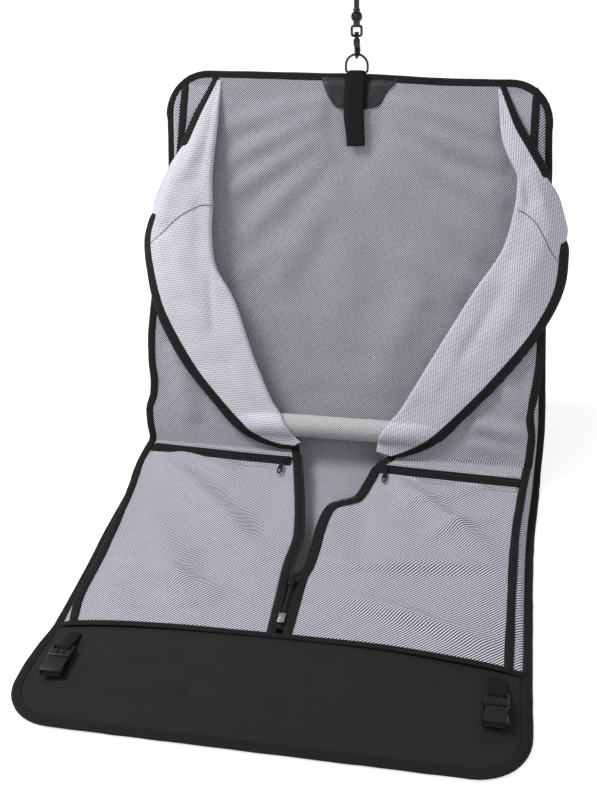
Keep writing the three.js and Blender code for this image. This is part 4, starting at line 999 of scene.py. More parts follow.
FLAP_FOLDS = {
    -1: [((-225, 60), (-262, 170), 13, 3.0), ((-250, 170), (-240, 300), 22, 4.0), ((-290, 250), (-205, 400), 18, 4.5),
         ((-212, 290), (-200, 400), 6, -3.5), ((-180, 380), (-120, 490), 14, 3.0), ((-270, 300), (-290, 230), 12, -3.5),
         ((-165, 450), (-128, 500), 7, 2.5), ((-190, 430), (-150, 480), 7, -2.0), ((-235, 90), (-300, 230), 16, 3.0)],
    1: [((226, 70), (262, 150), 10, 3.0), ((247, 140), (274, 188), 5, -5.5), ((262, 132), (294, 186), 8, 4.5),
        ((285, 180), (318, 260), 16, 5.0), ((268, 150), (300, 225), 8, -3.5), ((262, 215), (255, 330), 16, 4.0),
        ((290, 250), (230, 400), 16, 4.5), ((210, 330), (130, 490), 14, 3.5), ((245, 300), (180, 430), 9, -3.0)],
}


def flap_lift(side, out, v, share, t):
    """How the flap swells over the cloth under it."""
    swell = 7.5 + 4.5 * np.sin(np.clip(share, 0, 1) * math.pi)
    roll = 3.5 * np.exp(-((share / 0.14) ** 2))
    small = ease(t, -0.4, 2.0)
    lift = 1.6 + (swell + roll - 1.6) * small
    for a, b, width, height in FLAP_FOLDS[side]:
        lift = lift + fold(side * out, v, a, b, width, height) * np.clip(share * 4, 0, 1)
    lift = lift + (0.9 * bumps(side * out, v, 24, 41 + side) + 0.4 * bumps(side * out, v, 11, 43 + side)) * small
    lift = lift * (1 - 0.75 * ease(share, 0.8, 1.04) * billow(side, t))
    foot = 9.5 - 3.0 * ease(t, 10.5, 14) + 1.5 * np.sin(np.clip(share, 0, 1) * math.pi)
    on_foot = ease(t, 8.4, 9.8)
    return np.maximum(lift * (1 - on_foot) + foot * on_foot, 1.4 + 2.0 * ease(t, 0.1, 0.8))


def flap_share(side, t):
    """How far the cloth reaches from crease to edge: under its binding, or out past it where it billows."""
    c, e = route(CREASE_LINE[side])(t), route(EDGE_LINE[side])(t)
    reach = np.hypot(e[0] - c[0], e[1] - c[1])
    under = np.clip(1 - (EDGE_WIDTH(t) * 0.6) / np.maximum(reach, 7), 0.3, 1)
    out = billow(side, t)
    return under * (1 - out) + 1.03 * out


def flap_sheet(side):
    """The whole flap, from the front panel round its roll to its edge: places, points, normals and texture places."""
    pieces = [np.linspace(a, b, 26) for a, b in zip(FLAP_STARTS, FLAP_STARTS[1:] + (FOOT_END,))]
    t = np.concatenate([pieces[0]] + [x[1:] for x in pieces[1:]])[:, None]
    share = flap_share(side, t) * np.linspace(0, 1, 28)[None]
    out, v, base = flap_point(side, t, share)
    high = base + flap_lift(side, out, v, share, t)
    turn = np.linspace(0, 1, ROLL_STEPS + 1)[None]
    top, bottom = high[:, :1], base[:, :1] - 1.0
    radius = (top - bottom) / 2
    bulge = np.minimum(radius * 0.9, 5.0) * ease(t, -0.2, 1.2)
    roll_out = out[:, :1] - np.cos(math.pi * (turn - 0.5)) * bulge
    roll_high = (top + bottom) / 2 + radius * np.sin(math.pi * (turn - 0.5))
    u = np.concatenate([roll_out, out[:, 1:]], 1)
    run = np.concatenate([out[:, :1] - (1 - turn) * math.pi * radius, out[:, 1:]], 1)
    d = np.concatenate([roll_high, high[:, 1:]], 1)
    v = np.concatenate([v[:, :1] + 0 * turn, v[:, 1:]], 1)
    p = up(side * u, v, d)
    n = grid_normals(p)
    if (n[:, ROLL_STEPS:] @ np.array([0, -1, 0.3])).mean() < 0:
        n = -n
    return side * u, v, d, p, n, np.stack([side * run, v], -1) / 1000


def flap_edge(side):
    """The binding's middle line, its sideways and outward vectors and its widths."""
    t = np.concatenate([np.linspace(0.05, 5, 90), np.linspace(5, 9, 60)[1:], np.linspace(9, FOOT_END, 60)[1:]])
    out = billow(side, t)
    c, e = route(CREASE_LINE[side])(t), route(EDGE_LINE[side])(t)
    size = np.maximum(np.hypot(c[0] - e[0], c[1] - e[1]), 1)
    ends = []
    for held in (7 * out + EDGE_WIDTH(t), 7 * out):
        share = 1 - np.minimum(held / size, 1.0)
        at, v, base = flap_point(side, t, share)
        lift = flap_lift(side, at, v, share, t)
        ends.append(up(side * at, v, base + lift * (1 - out) + 1.0 * out))
    across = ends[1] - ends[0]
    width = np.linalg.norm(across, axis=-1, keepdims=True)
    across = across / width
    middle = (ends[0] + ends[1]) / 2
    ahead = np.gradient(middle, axis=0)
    normal = np.cross(ahead, across)
    normal /= np.linalg.norm(normal, axis=-1, keepdims=True)
    if (normal @ np.array([0, -1, 0.3])).mean() < 0:
        normal = -normal
    wide = np.maximum(width[:, 0] * 1000, 6.0) * (1 + 0.04 * bumps(t * 40, 0 * t, 18, 51))
    return middle + normal * 0.0003, across, normal, np.stack([wide / 11, 1 + 0 * t], -1)


def make_flaps():
    for side, name in NAMES.items():
        body = FLAPS[side]
        # The right flap takes the darker copy of the inner side, with painted shade in its colour.
        look = MESH_INSIDE_ACROSS if side < 0 else MESH_INSIDE_ALONG_SHADED
        u, v, d, p, n, uv = flap_sheet(side)
        cut, foot = ROLL_STEPS + 1, 25 * 4
        obj = cloth("flap_" + name + "_cloth", p[: foot + 1, cut:], 1.1, [look, MESH], uv[: foot + 1, cut:],
                    normals=n[: foot + 1, cut:])
        on(obj, body, "flap_" + name, slot="cloth")
        for k in range(4):
            rows = slice(25 * k, 25 * k + 26)
            obj = cloth(f"flap_{name}_crease_{k + 1}", p[rows, : cut + 1], 1.1, [look, CREASE_BACK],
                        uv[rows, : cut + 1], normals=n[rows, : cut + 1])
            low, high = p[25 * k, 0], p[25 * k, ROLL_STEPS]
            ahead, rise = Vector(p[25 * k + 25, 0] - low), Vector(high - low)
            rise = rise - ahead * (rise.dot(ahead) / ahead.length_squared)
            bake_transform(obj)
            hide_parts("flap_crease_" + name)
        obj = cloth(f"flap_{name}_foot", p[foot:], 1.1, [look, MESH], uv[foot:], normals=n[foot:])
        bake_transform(obj)
        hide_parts("flap_crease_" + name)
        make_flap_binding(side, name, body)
        make_seam_line(side, name, body, u[:, cut:], v[:, cut:], d[:, cut:])


def make_flap_binding(side, name, body):
    middle, across, normal, widths = flap_edge(side)
    section = tape_section(11.0, 3.4, 0.5)
    for part, first, last in (("top", 0, 89), ("centre", 89, 148), ("foot", 148, 207)):
        rows = slice(first, last + 1)
        obj = sweep(f"flap_{name}_{part}_edge", middle[rows], across[rows], normal[rows], section, THIN_BINDING,
                    widths=widths[rows])
        if part == "foot":
            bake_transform(obj)
        else:
            on(obj, body, f"flap_{part}_binding_{name}", slot="binding")


FLAP_SEAMS = {
    -1: [(310, 263), (291, 248), (266, 225), (241, 209), (223, 202), (209, 202)],
    1: [(255, 193), (267, 198), (283, 212), (294, 229), (307, 251), (324, 271)],
}


def make_seam_line(side, name, body, u, v, d):
    """The thin felled seam that crosses the flap, on top of its cloth."""
    out, along = route(FLAP_SEAMS[side])(np.linspace(0, 5, 60))
    away = (side * out[:, None] - u.ravel()[None]) ** 2 + (along[:, None] - v.ravel()[None]) ** 2
    near = 1 / (away + 4.0) ** 3
    height = (near * d.ravel()[None]).sum(1) / near.sum(1)
    path = up(side * out, along, height + 0.8)
    obj = band("flap_" + name + "_seam", path, normal_at(along), 1.3, 0.8, SEAM_THREAD)
    on(obj, body, slot="binding")


# Front panels and centre zip
TAPE_OUTER = {
    -1: curve([(0, 63), (31, 57), (89, 45.6), (143, 34.4), (194, 25.7), (219, 23.8), (244, 25.2), (268, 26), (292, 25.8),
               (315, 25), (337, 23.3), (359, 21.7), (381, 20.2), (412, 19)]),
    1: curve([(0, 92), (18, 84), (36, 77), (57, 74), (79, 69.5), (99, 64.5), (112, 57), (120, 46), (128, 33), (136, 26),
              (158, 21), (190, 19), (228, 19), (266, 17.5), (295, 13), (412, 13)]),
}

TAPE_LINE = {
    -1: [(59, 1.5), (53, 25), (47.5, 50), (39, 88), (28, 142), (19.3, 193), (17, 218), (18, 243), (19.2, 267), (18.8, 291),
         (17.4, 315), (16.3, 337), (15.4, 359), (14.6, 381), (13.4, 409)],
    1: [(88, 1.5), (79, 18), (72, 36), (68.5, 57), (64, 79), (59.5, 99), (54, 111), (43, 119.5), (31, 126), (20.5, 136),
        (15, 158), (12.8, 190), (12.6, 228), (11.3, 266), (6.8, 292), (6.2, 320), (6.2, 354), (6.2, 388), (6.2, 409)],
}

FOLD_TAPE_TOP = {-1: 60.0, 1: 93.0}

FRONT_FOLDS = {
    -1: [((-279, 650), (-45, 880), 24, 8.0), ((-250, 640), (-120, 700), 14, 3.5), ((-60, 700), (-90, 900), 22, -3.0),
         ((-255, 900), (-90, 960), 16, 5.0), ((-240, 790), (-130, 990), 24, 4.5), ((-262, 940), (-200, 1000), 12, 4.0),
         ((-275, 420), (-225, 545), 16, 5.0), ((-268, 400), (-215, 470), 10, 3.0)],
    1: [((86, 664), (262, 834), 16, 7.5), ((18, 882), (262, 845), 13, 6.0), ((25, 934), (262, 992), 15, 6.5),
        ((230, 680), (110, 730), 14, 4.0), ((50, 720), (90, 900), 20, -3.0), ((250, 740), (150, 800), 12, 4.5),
        ((206, 515), (292, 528), 11, 5.5), ((240, 430), (285, 500), 14, 5.0), ((200, 548), (285, 556), 7, 3.0)],
}


def crease_at(side):
    return curve([(v, out) for out, v in CREASE_LINE[side]])


def make_front_panels():
    for side, name in NAMES.items():
        s = along_places(11.0, SEAM_END - 2, 6, 60)
        upper = crease_at(side)(np.minimum(s, 562)) + 1.0
        lower = TAPE_OUTER[side](np.maximum(s - LOWER_START, 0)) - 3
        inner = upper + (lower - upper) * ease(s, 562, LOWER_START + 4)
        outer = seam_at(side, s) + 1.0
        t = np.linspace(0, 1, 46)[None]
        u = outer[:, None] + (inner - outer)[:, None] * t
        ss = np.broadcast_to(s[:, None], u.shape)
        d = front_height(u, ss) * (1 - pressed(ss) * np.clip(1 - 2.5 * t, 0, 1))
        soft = np.sin(np.clip(t, 0, 1) * math.pi) ** 0.5
        near = np.clip(np.abs(ss - UPPER_LENGTH - FOLD_LENGTH / 2) / 60, 0, 1)
        rise = np.zeros_like(u)
        for a, b, width, height in FRONT_FOLDS[side]:
            rise += fold(side * u, ss, a, b, width, 1.7 * height)
        rise += 1.4 * bumps(u, ss, 38, 71 + side) + 0.7 * bumps(u, ss, 17, 73 + side)
        upper_sag = -1.5 * ease(ss, 60, 160) * (1 - ease(ss, 460, 520))
        d = d + (rise * near + upper_sag) * soft * ease(ss, 14, 60)
        d = np.minimum(d, np.where((ss > UPPER_LENGTH - 15) & (ss < LOWER_START + 15), 32.5, 99))
        finer = 1.3 - 0.3 * ease(s, 565, 612)
        along = np.concatenate([[0], np.cumsum((finer[1:] + finer[:-1]) / 2 * np.diff(s))])
        uv = np.stack([side * u * finer[:, None], np.broadcast_to(along[:, None], u.shape)], -1) / 1000
        obj = cloth("front_" + name, bag(side * u, ss, d), 1.1, [MESH, MESH], uv, (0, -0.7, 0.7))
        over_fold(obj, "front_panel_upper_" + name, "front_panel_lower_" + name, slot="cloth")
        width = float((outer - inner).max()) / 1000


def make_centre_zip():
    for side, name in NAMES.items():
        line = TAPE_LINE[side]
        out, v = route(line)(np.linspace(0, len(line) - 1, 110))
        h = lower_height(out, v) + 1.6
        path = lo(side * out, v, h)
        width = 12.4 if side < 0 else 11.8
        widths = np.stack([1 + 0.03 * bumps(v, out, 25, 83 + side), 1 + 0 * v], -1)
        obj = band("centre_tape_" + name + "_cloth", path, (0, 0, 1), width, 2.4, THIN_BINDING, False, widths, 0.6)
        on(obj, "lower_half", "centre_tape_" + name, slot="binding")
        ahead = np.gradient(path, axis=0)
        across = np.cross(ahead, np.array([0, 0, 1.0]))
        across /= np.linalg.norm(across, axis=-1, keepdims=True)
        inward = across * np.where(across[:, :1] * -side > 0, 1, -1)
        coil = (path + inward * (width / 2 + 1.2) / 1000 + np.array([0, 0, 0.0004]))[(v < 296) & (v > 8)]
        obj = teeth("centre_coil_" + name, coil, (0, 0, 1), COIL, 2.0, 3.4, 1.7)
        on(obj, "lower_half", slot="binding")
        s = np.linspace(UPPER_LENGTH - 7, LOWER_START + 4, 20)
        top, bottom = FOLD_TAPE_TOP[side], float(out[0])
        across = top + (bottom - top) * ease(s, s[0], s[-1])
        first = float(upper_height(top, 568)) + 6.6
        last = float(lower_height(out[0], 2.0)) + 1.6
        d = np.minimum(first + (last - first) * ease(s, s[0], s[-1]), 35.2)
        obj = band("fold_tape_" + name, bag(side * across, s, d), normal_at(s), 12.0, 2.6, THIN_BINDING)
        over_fold(obj, slot="binding")
    v = np.linspace(304, SEAM - 13, 60)
    base = float(lower_height(0, 398.0))
    chain = lo(ZIP + 0 * v, v, base + 1.0 + 0 * v)
    coil = teeth("centre_chain_coil", chain, (0, 0, 1), COIL, 2.0, 5.6, 2.4)
    under = band("centre_chain_base", chain + np.array([0.0005, 0, -0.0013]), (0, 0, 1), 15.0, 1.0, ZIP_TAPE)
    on(join("centre_chain_closed", [coil, under]), "lower_half", "centre_chain", slot="binding")
    make_centre_slider(base)


def make_centre_slider(base):
    x, y, z = lo(ZIP, 298, base + 4.1) * 1000
    parts = [
        rounded("a", (11, 22, 1.8), (x, y, z - 1.2), PLASTIC, 0.7),
        rounded("b", (9, 17, 1.8), (x, y - 1, z + 1.0), PLASTIC, 0.7, taper=(0.85, 0.9)),
        rounded("c", (3.4, 12, 2.2), (x, y, z + 2.2), PLASTIC, 0.8),
    ]
    on(join("centre_slider_body", parts), "centre_slider", "centre_slider", slot="plastic")
    lo_box, hi_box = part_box("centre_pull")
    cx, cy, cz = [(a + b) * 500 for a, b in zip(lo_box, hi_box)]
    parts = [rounded("a", (8, 27, 1.8), (cx, cy, cz - 0.2), PLASTIC, 0.8)]
    for k in range(6):
        parts.append(rounded("r", (7.4, 1.7, 1.4), (cx, cy - 9 + 3.1 * k, cz + 0.8), PLASTIC, 0.5, steps=2))
    on(join("centre_pull_tab", parts), "centre_pull", "centre_pull", slot="plastic")
    lo_box, hi_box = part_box("lower_slider")
    cx, cy, cz = [(a + b) * 500 for a, b in zip(lo_box, hi_box)]
    parts = [
        rounded("a", (9.5, 17, 1.6), (cx, cy + 1, cz - 1.0), BRIGHT, 0.6),
        rounded("b", (8, 13, 1.6), (cx, cy + 1, cz + 0.9), BRIGHT, 0.6, taper=(0.8, 0.9)),
        rounded("c", (3.2, 10, 2.0), (cx, cy + 1, cz + 1.8), BRIGHT, 0.7),
        rounded("d", (6.0, 9, 1.6), (cx, cy - 5, cz + 0.2), BRIGHT, 0.6),
    ]
    on(join("lower_slider_body", parts), "lower_slider", "lower_slider", slot="bright_metal")


POCKETS = {-1: (66, 29, 20), 1: (80, 31, 41)}


def make_pull(x, back, front, z):
    """A moulded pull: a short link at the slider and a long open loop."""
    middle, half = (back + front) / 2 - 4, (back - front) / 2 - 5.5
    turn = np.linspace(0, 2 * math.pi, 40, endpoint=False)
    wide = 2.7 + 0.5 * np.clip(-np.sin(turn), 0, 1)
    path = np.stack([x + wide * np.cos(turn), middle + half * np.sin(turn), z + 0 * turn], -1) / 1000
    loop = wire("loop", path, 1.15, PLASTIC, True, 12, None, (0, 0, 1))
    link = rounded("link", (3.6, 12, 1.8), (x, back - 6.2, z), PLASTIC, 0.7)
    grip = rounded("grip", (4.4, half, 1.5), (x, middle + half * 0.35, z), PLASTIC, 0.6)
    return [loop, link, grip]


def make_pocket_zips():
    for side, name in NAMES.items():
        inner, place_in, place_out = POCKETS[side]
        end = 284
        out = np.linspace(inner - 2, end, 60)
        v = place_in + (place_out - place_in) * (out - inner) / (262 - inner)
        v = v + 1.2 * np.sin((out - inner) / 196 * math.pi) + 0.6 * bumps(out, v, 40, 81)

        def line(gap, rise, keep=slice(None)):
            at = v[keep] + gap
            return lo(side * out[keep], at, np.minimum(lower_height(out[keep], v[keep]), 32.5) + rise)

        path = line(0, 2.8)
        tape_piece = band("t", path, (0, 0, 1), 23.0, 1.8, ZIP_TAPE, dome=0.2)
        coil = teeth("c", path + np.array([0, 0, 0.001]), (0, 0, 1), COIL, 1.9, 4.6, 1.7)
        obj = join("pocket_zip_" + name, [tape_piece, coil])
        on(obj, "lower_half", "pocket_tape_" + name, slot="binding")
        hems = [band("h", line(gap, 1.9, slice(1, -1)), (0, 0, 1), 1.5, 0.9, PALE_THREAD)
                for gap in (-18.5, -14.0, 12.8, 16.8, 21.0)]
        on(join("pocket_stitching_" + name, hems), "lower_half", slot="cloth")
        ends = []
        for x in (inner - 3, end):
            at = np.interp(x, out, v)
            ends.append(rounded("e", (5, 20, 2.0), tuple(lo(side * x, at, float(lower_height(x, at)) + 1.8) * 1000),
                                ZIP_TAPE, 0.7))
        on(join("pocket_ends_" + name, ends), "lower_half", slot="binding")
        a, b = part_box("pocket_slider_" + name)
        cx, cy, cz = [(p + q) * 500 for p, q in zip(a, b)]
        parts = [
            rounded("a", (12, 8, 1.4), (cx, cy, cz - 0.9), PLASTIC, 0.5),
            rounded("b", (10, 6.6, 1.4), (cx, cy, cz + 0.7), PLASTIC, 0.5),
            rounded("c", (7, 2.6, 1.6), (cx, cy, cz + 1.6), PLASTIC, 0.6),
        ]
        body = "pocket_slider_" + name
        on(join("pocket_slider_body_" + name, parts), body, body, slot="plastic")
        a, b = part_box("pocket_pull_" + name)
        parts = make_pull((a[0] + b[0]) * 500, b[1] * 1000, a[1] * 1000, (a[2] + b[2]) * 500)
        on(join("pocket_pull_tab_" + name, parts), "pocket_pull_" + name, "pocket_pull_" + name, slot="plastic")


# Bottom panel and buckles
BOTTOM_FOLDS = [
    ((-240, 470), (-120, 455), 10, 4.0), ((-205, 514), (-95, 506), 9, 5.0), ((-90, 500), (20, 520), 14, 4.0),
    ((60, 470), (240, 500), 14, 4.0), ((-60, 540), (180, 545), 12, 3.5), ((120, 440), (230, 455), 8, -3.0),
    ((-270, 440), (-240, 520), 14, 3.0), ((265, 440), (240, 540), 14, 3.0), ((-120, 430), (60, 436), 9, 3.0),
]


def bottom_height(u, v):
    start, end = SEAM + 3.5, LOWER_LENGTH - 10.5
    down = np.clip((v - start) / (end - start), 0, 1)
    wide = half_width(1, LOWER_START + v) - 10.5
    out = np.clip(np.abs(u) / wide, 0, 1)
    edge = 4.0
    rise = float(lower_height(0.0, start)) - edge
    base = edge + rise * (1 - out**2.5) * (1 - down**1.5)
    inside = np.clip((1 - out) * 8, 0, 1) * np.clip((1 - down) * 6, 0, 1) * np.clip(down * 12, 0, 1)
    for a, b, width, height in BOTTOM_FOLDS:
        base = base + fold(u, v, a, b, width, height) * inside
    return base + (0.9 * bumps(u, v, 45, 91) + 0.4 * bumps(u, v, 18, 92)) * inside


def make_bottom():
    v = np.concatenate([np.linspace(SEAM - 1.5, 520, 26), np.linspace(525, LOWER_LENGTH - 10.5, 22)])
    t = np.linspace(-1, 1, 93)[None]
    left, right = half_width(-1, LOWER_START + v) - 10.5, half_width(1, LOWER_START + v) - 10.5
    u = np.where(t < 0, t * left[:, None], t * right[:, None])
    vv = np.broadcast_to(v[:, None], u.shape)
    d = bottom_height(u, vv)
    obj = cloth("bottom_cloth", lo(u, vv, d), 1.2, [NYLON, NYLON], np.stack([u, vv], -1) / 1000, (0, 0, 1))
    on(obj, "lower_half", "bottom_panel", slot="shell")
    left, right = half_width(-1, LOWER_START + SEAM) - 9, half_width(1, LOWER_START + SEAM) - 9
    u = np.linspace(-left, right, 120)
    v = SEAM + 0 * u + 1.5 * bumps(u, 0 * u, 90, 93)
    down = ease(np.abs(u), 274, 293)
    side = lower_height(u, v) * (1 - down) + 4.0 * down
    h = np.maximum(side, bottom_height(u, SEAM + 3.5 + 0 * u)) + 1.6
    obj = band("bottom_seam", lo(u, v, h), (0, 0, 1), 9.0, 3.2, THIN_BINDING, False, None, 0.5)
    on(obj, "lower_half", "bottom_seam_binding", slot="binding")
    for side, name in NAMES.items():
        make_buckle(name)


def make_buckle(name):
    a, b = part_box("buckle_" + name)
    x, z = (a[0] + b[0]) * 500, (a[2] + b[2]) * 500
    back, front = b[1] * 1000, a[1] * 1000
    start = back - 8
    length, middle = start - front, (start + front) / 2
    outer = rounded("o", (29, length, 9.4), (x, middle, z), PLASTIC, 2.4, steps=4)
    cutters = [
        rounded("cavity", (24.6, length, 5.6), (x, middle - 2.5, z), PLASTIC, 0.8),
        rounded("window_l", (5, 15, 14), (x - 15.4, middle - 3, z), PLASTIC, 1.0),
        rounded("window_r", (5, 15, 14), (x + 15.4, middle - 3, z), PLASTIC, 1.0),
    ]
    for c in cutters:
        m = outer.modifiers.new("cut", "BOOLEAN")
        m.operation, m.object, m.solver = "DIFFERENCE", c, "EXACT"
    bpy.context.view_layer.update()
    made = bpy.data.meshes.new_from_object(outer.evaluated_get(bpy.context.evaluated_depsgraph_get()))
    for c in cutters:
        bpy.data.objects.remove(c)
    bpy.data.objects.remove(outer)
    body = bpy.data.objects.new("body", made)
    bpy.context.scene.collection.objects.link(body)
    box_uv(made)
    parts = [body]
    for end in (-1, 1):
        parts.append(rounded("arm", (3.2, 11, 6.0), (x + end * 12.6, back - 5.2, z + 0.4), PLASTIC, 1.0))
        parts.append(rounded("slot", (2.0, 10, 2.4), (x + end * 4.2, start - 5.5, z + 4.8), PLASTIC, 0.7))
    parts.append(rounded("ridge", (28.4, 2.6, 3.0), (x, start - 12.5, z + 4.7), PLASTIC, 1.0))
    parts.append(rounded("lip", (28.0, 2.2, 2.4), (x, front + 1.6, z + 4.3), PLASTIC, 0.9))
    parts.append(lathe("bar", [(1.7, -13.4), (2.0, -12.9), (2.0, 12.9), (1.7, 13.4)], (x, back - 2, z), (1, 0, 0),
                       PLASTIC, 20))
    on(join("buckle_body_" + name, parts), "buckle_" + name, "buckle_" + name, slot="plastic")
    v0, v1 = 434.0, AXIS_Y - (back - 2)
    base = bottom_height(np.array([x] * 3), np.array([v0, 448.0, v1]))
    bar_d = z - AXIS_Z + DEPTH
    turn = [(v1 + 3.4 * math.cos(a), bar_d + 3.2 * math.sin(a)) for a in np.linspace(-math.pi / 2, math.pi / 2, 13)]
    low = [(v0, base[0] + 1.4), (v0 + 9, float(base[1]) + 1.6)]
    high = [(v0 + 9, base[1] + 5.4), (v0 - 4, base[0] + 3.0)]
    profile = np.array(low + turn + high)
    curve_v = route([tuple(r) for r in profile])(np.linspace(0, len(profile) - 1, 60))
    path = lo(x + 0 * curve_v[0], curve_v[0], curve_v[1])
    side_way = np.broadcast_to(np.array([1.0, 0, 0]), path.shape)
    ahead = np.gradient(path, axis=0)
    ahead /= np.linalg.norm(ahead, axis=-1, keepdims=True)
    web = sweep("web", path, side_way, np.cross(side_way, ahead), tape_section(20, 1.5, 0.1), WEBBING)
    corners = ((-7.5, 1.5), (7.5, 1.5), (7.5, 8), (-7.5, 8), (-7.5, 1.5))
    box = [lo(x + dx, v0 + dv, float(base[0]) + 5.0 + 0.12 * dv) for dx, dv in corners]
    fine = np.concatenate([np.linspace(p, q, 6)[:-1] for p, q in zip(box, box[1:])])
    seam = stitches("seam", fine, (0, 0, 1), THREAD, 2.8, 1.9, 0.3)
    on(join("buckle_web_" + name, [web, seam]), "lower_half", "buckle_webbing_" + name, slot="webbing")


# Roll, strap, patch and hardware
def make_bolster():
    ends = [(-1.0, 0.32), (-0.985, 0.62), (-0.955, 0.83), (-0.9, 0.94), (-0.8, 0.985), (-0.6, 1.0)]
    places = [x for x, _ in ends] + list(np.linspace(-0.5, 0.5, 15)) + [-x for x, _ in ends[::-1]]
    radius = [r for _, r in ends] + [1.0] * 15 + [r for _, r in ends[::-1]]
    sides = 40
    turn = np.linspace(0, 2 * math.pi, sides, endpoint=False)
    u = np.array(places)[:, None] * (BOLSTER_HALF + 1)
    r = np.array(radius)[:, None] * (BOLSTER_RADIUS + 0.6)
    creases = 0.05 * np.clip(np.abs(np.array(places)) * 3 - 2.2, 0, 1)[:, None] * np.sin(turn * 9)[None]
    wobble = 0.5 * bumps(u + 0 * turn, turn * 25 + 0 * u, 22, 101)
    r = r * (1 + creases) + wobble
    v = BOLSTER_PLACE + r * np.cos(turn)
    d = BOLSTER_HEIGHT + r * np.sin(turn) * 0.97
    p = up(u + 0 * v, v, d)
    count = len(places)
    points = p.reshape(-1, 3)
    faces, uvs = [], []
    for i in range(count - 1):
        for k in range(sides):
            m = (k + 1) % sides
            faces.append([i * sides + k, i * sides + m, (i + 1) * sides + m, (i + 1) * sides + k])
            a, b = places[i] * 0.128, places[i + 1] * 0.128
            c, e = k * 0.0027, (k + 1) * 0.0027
            uvs.append([(a, c), (a, e), (b, e), (b, c)])
    for start, order in ((0, range(sides - 1, -1, -1)), ((count - 1) * sides, range(sides))):
        faces.append([start + k for k in order])
        uvs.append([(points[start + k][1], points[start + k][2]) for k in order])
    obj = finish_mesh("bolster_roll", points, faces, uvs, [0] * len(faces), [PAD])
    facing_out(obj)
    on(obj, "upper_half", "bolster", slot="padding")
    for side, name in NAMES.items():
        strap_u = np.array([BOLSTER_HALF - 1, BOLSTER_HALF + 2, BOLSTER_HALF + 7, BOLSTER_HALF + 16, 200, 250, 287])
        strap_d = np.array([15, 12.5, 8.0, 6.0, 5.6, 5.6, 5.6])
        f = route(list(zip(strap_u, strap_d)))(np.linspace(0, 6, 40))
        path = up(side * f[0], BOLSTER_PLACE + 0 * f[0], f[1])
        obj = band("roll_strap_" + name, path, normal_at(f[0] * 0 + 537), 20, 1.5, WEBBING, dome=0.1)
        on(obj, "upper_half", "bolster_strap_" + name, slot="webbing")


def make_patch():
    outline = [(-55, -1), (-52, 5), (-49, 11), (-47, 17), (-44, 23), (-41, 29), (-37, 35), (-33, 40), (-25, 44), (0, 45),
               (16, 44.8), (29, 43.5), (37, 40), (42, 34), (45, 27), (48, 21), (52, 15), (57, 10), (62, 5), (67, 0)]
    u, v = route(outline)(np.linspace(0, len(outline) - 1, 60))
    left, right = u[:30], u[::-1][:30]
    t = np.linspace(0, 1, 34)[None]
    uu = left[:, None] + (right - left)[:, None] * t
    vv = v[:30][:, None] + (v[::-1][:30] - v[:30])[:, None] * t
    edge = np.minimum(np.minimum(t, 1 - t) * np.abs(right - left)[:, None], 45.2 - vv)
    d = 4.2 + 1.9 * ease(vv, 3, 12) + 0.9 * ease(edge, 0, 3) + 0.8 * bumps(uu, vv, 16, 111)
    obj = cloth("patch", up(uu, vv, d), 1.3, [PATCH, PATCH], np.stack([uu, vv], -1) / 1000, (0, -1, 0.4))
    on(obj, "upper_half", "hanger_patch", slot="patch")
    inset = [up(u[k] * 0.93, 9 + (v[k] - 9) * 0.93, 8.1) for k in range(10, 50)]
    line = stitches("patch_stitching", np.array(inset), (0, -COS, SIN), THREAD, 3.0, 2.0, 0.3)
    on(line, "upper_half", slot="patch")


def make_strap():
    v = np.linspace(-5, 103, 50)
    d = 11.0 + 1.6 * np.sin(np.clip((v + 5) / 108, 0, 1) * math.pi * 0.8) + 0.4 * bumps(v, 0 * v, 22, 121)
    wide = np.stack([1.12 - 0.12 * ease(v, 45, 100), 1 + 0 * v], -1)
    front = band("f", up(-1.0 + 6.5 * ease(v, 40, 108), v, d), (0, -COS, SIN), 28, 1.7, WEBBING, False, wide, 0.08)
    v2 = np.linspace(-4, 47, 26)
    back = band("b", up(8.5 + 0 * v2, v2, 9.3 + 0 * v2), (0, -COS, SIN), 20, 1.3, WEBBING, dome=0.08)
    rows = []
    for x, y0, y1 in ((-10.5, 2, 26), (10.5, 2, 26)):
        rows.append(np.array([up(x, y, 12.45 + 0.5 * (y / 26)) for y in np.linspace(y0, y1, 12)]))
    for y in (2, 26):
        rows.append(np.array([up(x, y, 12.45 + 0.5 * (y / 26)) for x in np.linspace(-10.5, 10.5, 10)]))
    for y in (95, 99):
        rows.append(np.array([up(x + 5.5, y, 12.5) for x in np.linspace(-12, 12, 10)]))
    seams = [stitches("s", r, (0, -COS, SIN), COIL, 2.8, 1.9, 0.3) for r in rows]
    on(join("strap", [front, back] + seams), "hanger_strap", "hanger_strap", slot="webbing")
    bar = RING_LOW + RING_WIRE / 2
    bar_up, bar_out = bar * COS, bar * SIN
    bend = RING_WIRE / 2 + 1.0
    turns = np.linspace(-0.1, math.pi + 0.1, 20)
    arc = [(-(bar_up + bend * math.sin(a)), bar_out - bend * math.cos(a)) for a in turns]
    rows = [(25, 8.6), (14, 8.5), (4, 8.3)] + [(a, b) for a, b in arc[::-1]] + [(4, -1.2), (14, -1.2), (25, -1.2)]
    f = route(rows)(np.linspace(0, len(rows) - 1, 70))
    path = up(0 * f[0], f[0], f[1])
    side_way = np.broadcast_to(np.array([1.0, 0, 0]), path.shape)
    ahead = np.gradient(path, axis=0)
    ahead /= np.linalg.norm(ahead, axis=-1, keepdims=True)
    obj = sweep("loop", path, side_way, np.cross(side_way, ahead), tape_section(24, 1.6, 0.1), WEBBING)
    on(obj, "upper_half", "ring_loop", slot="webbing")


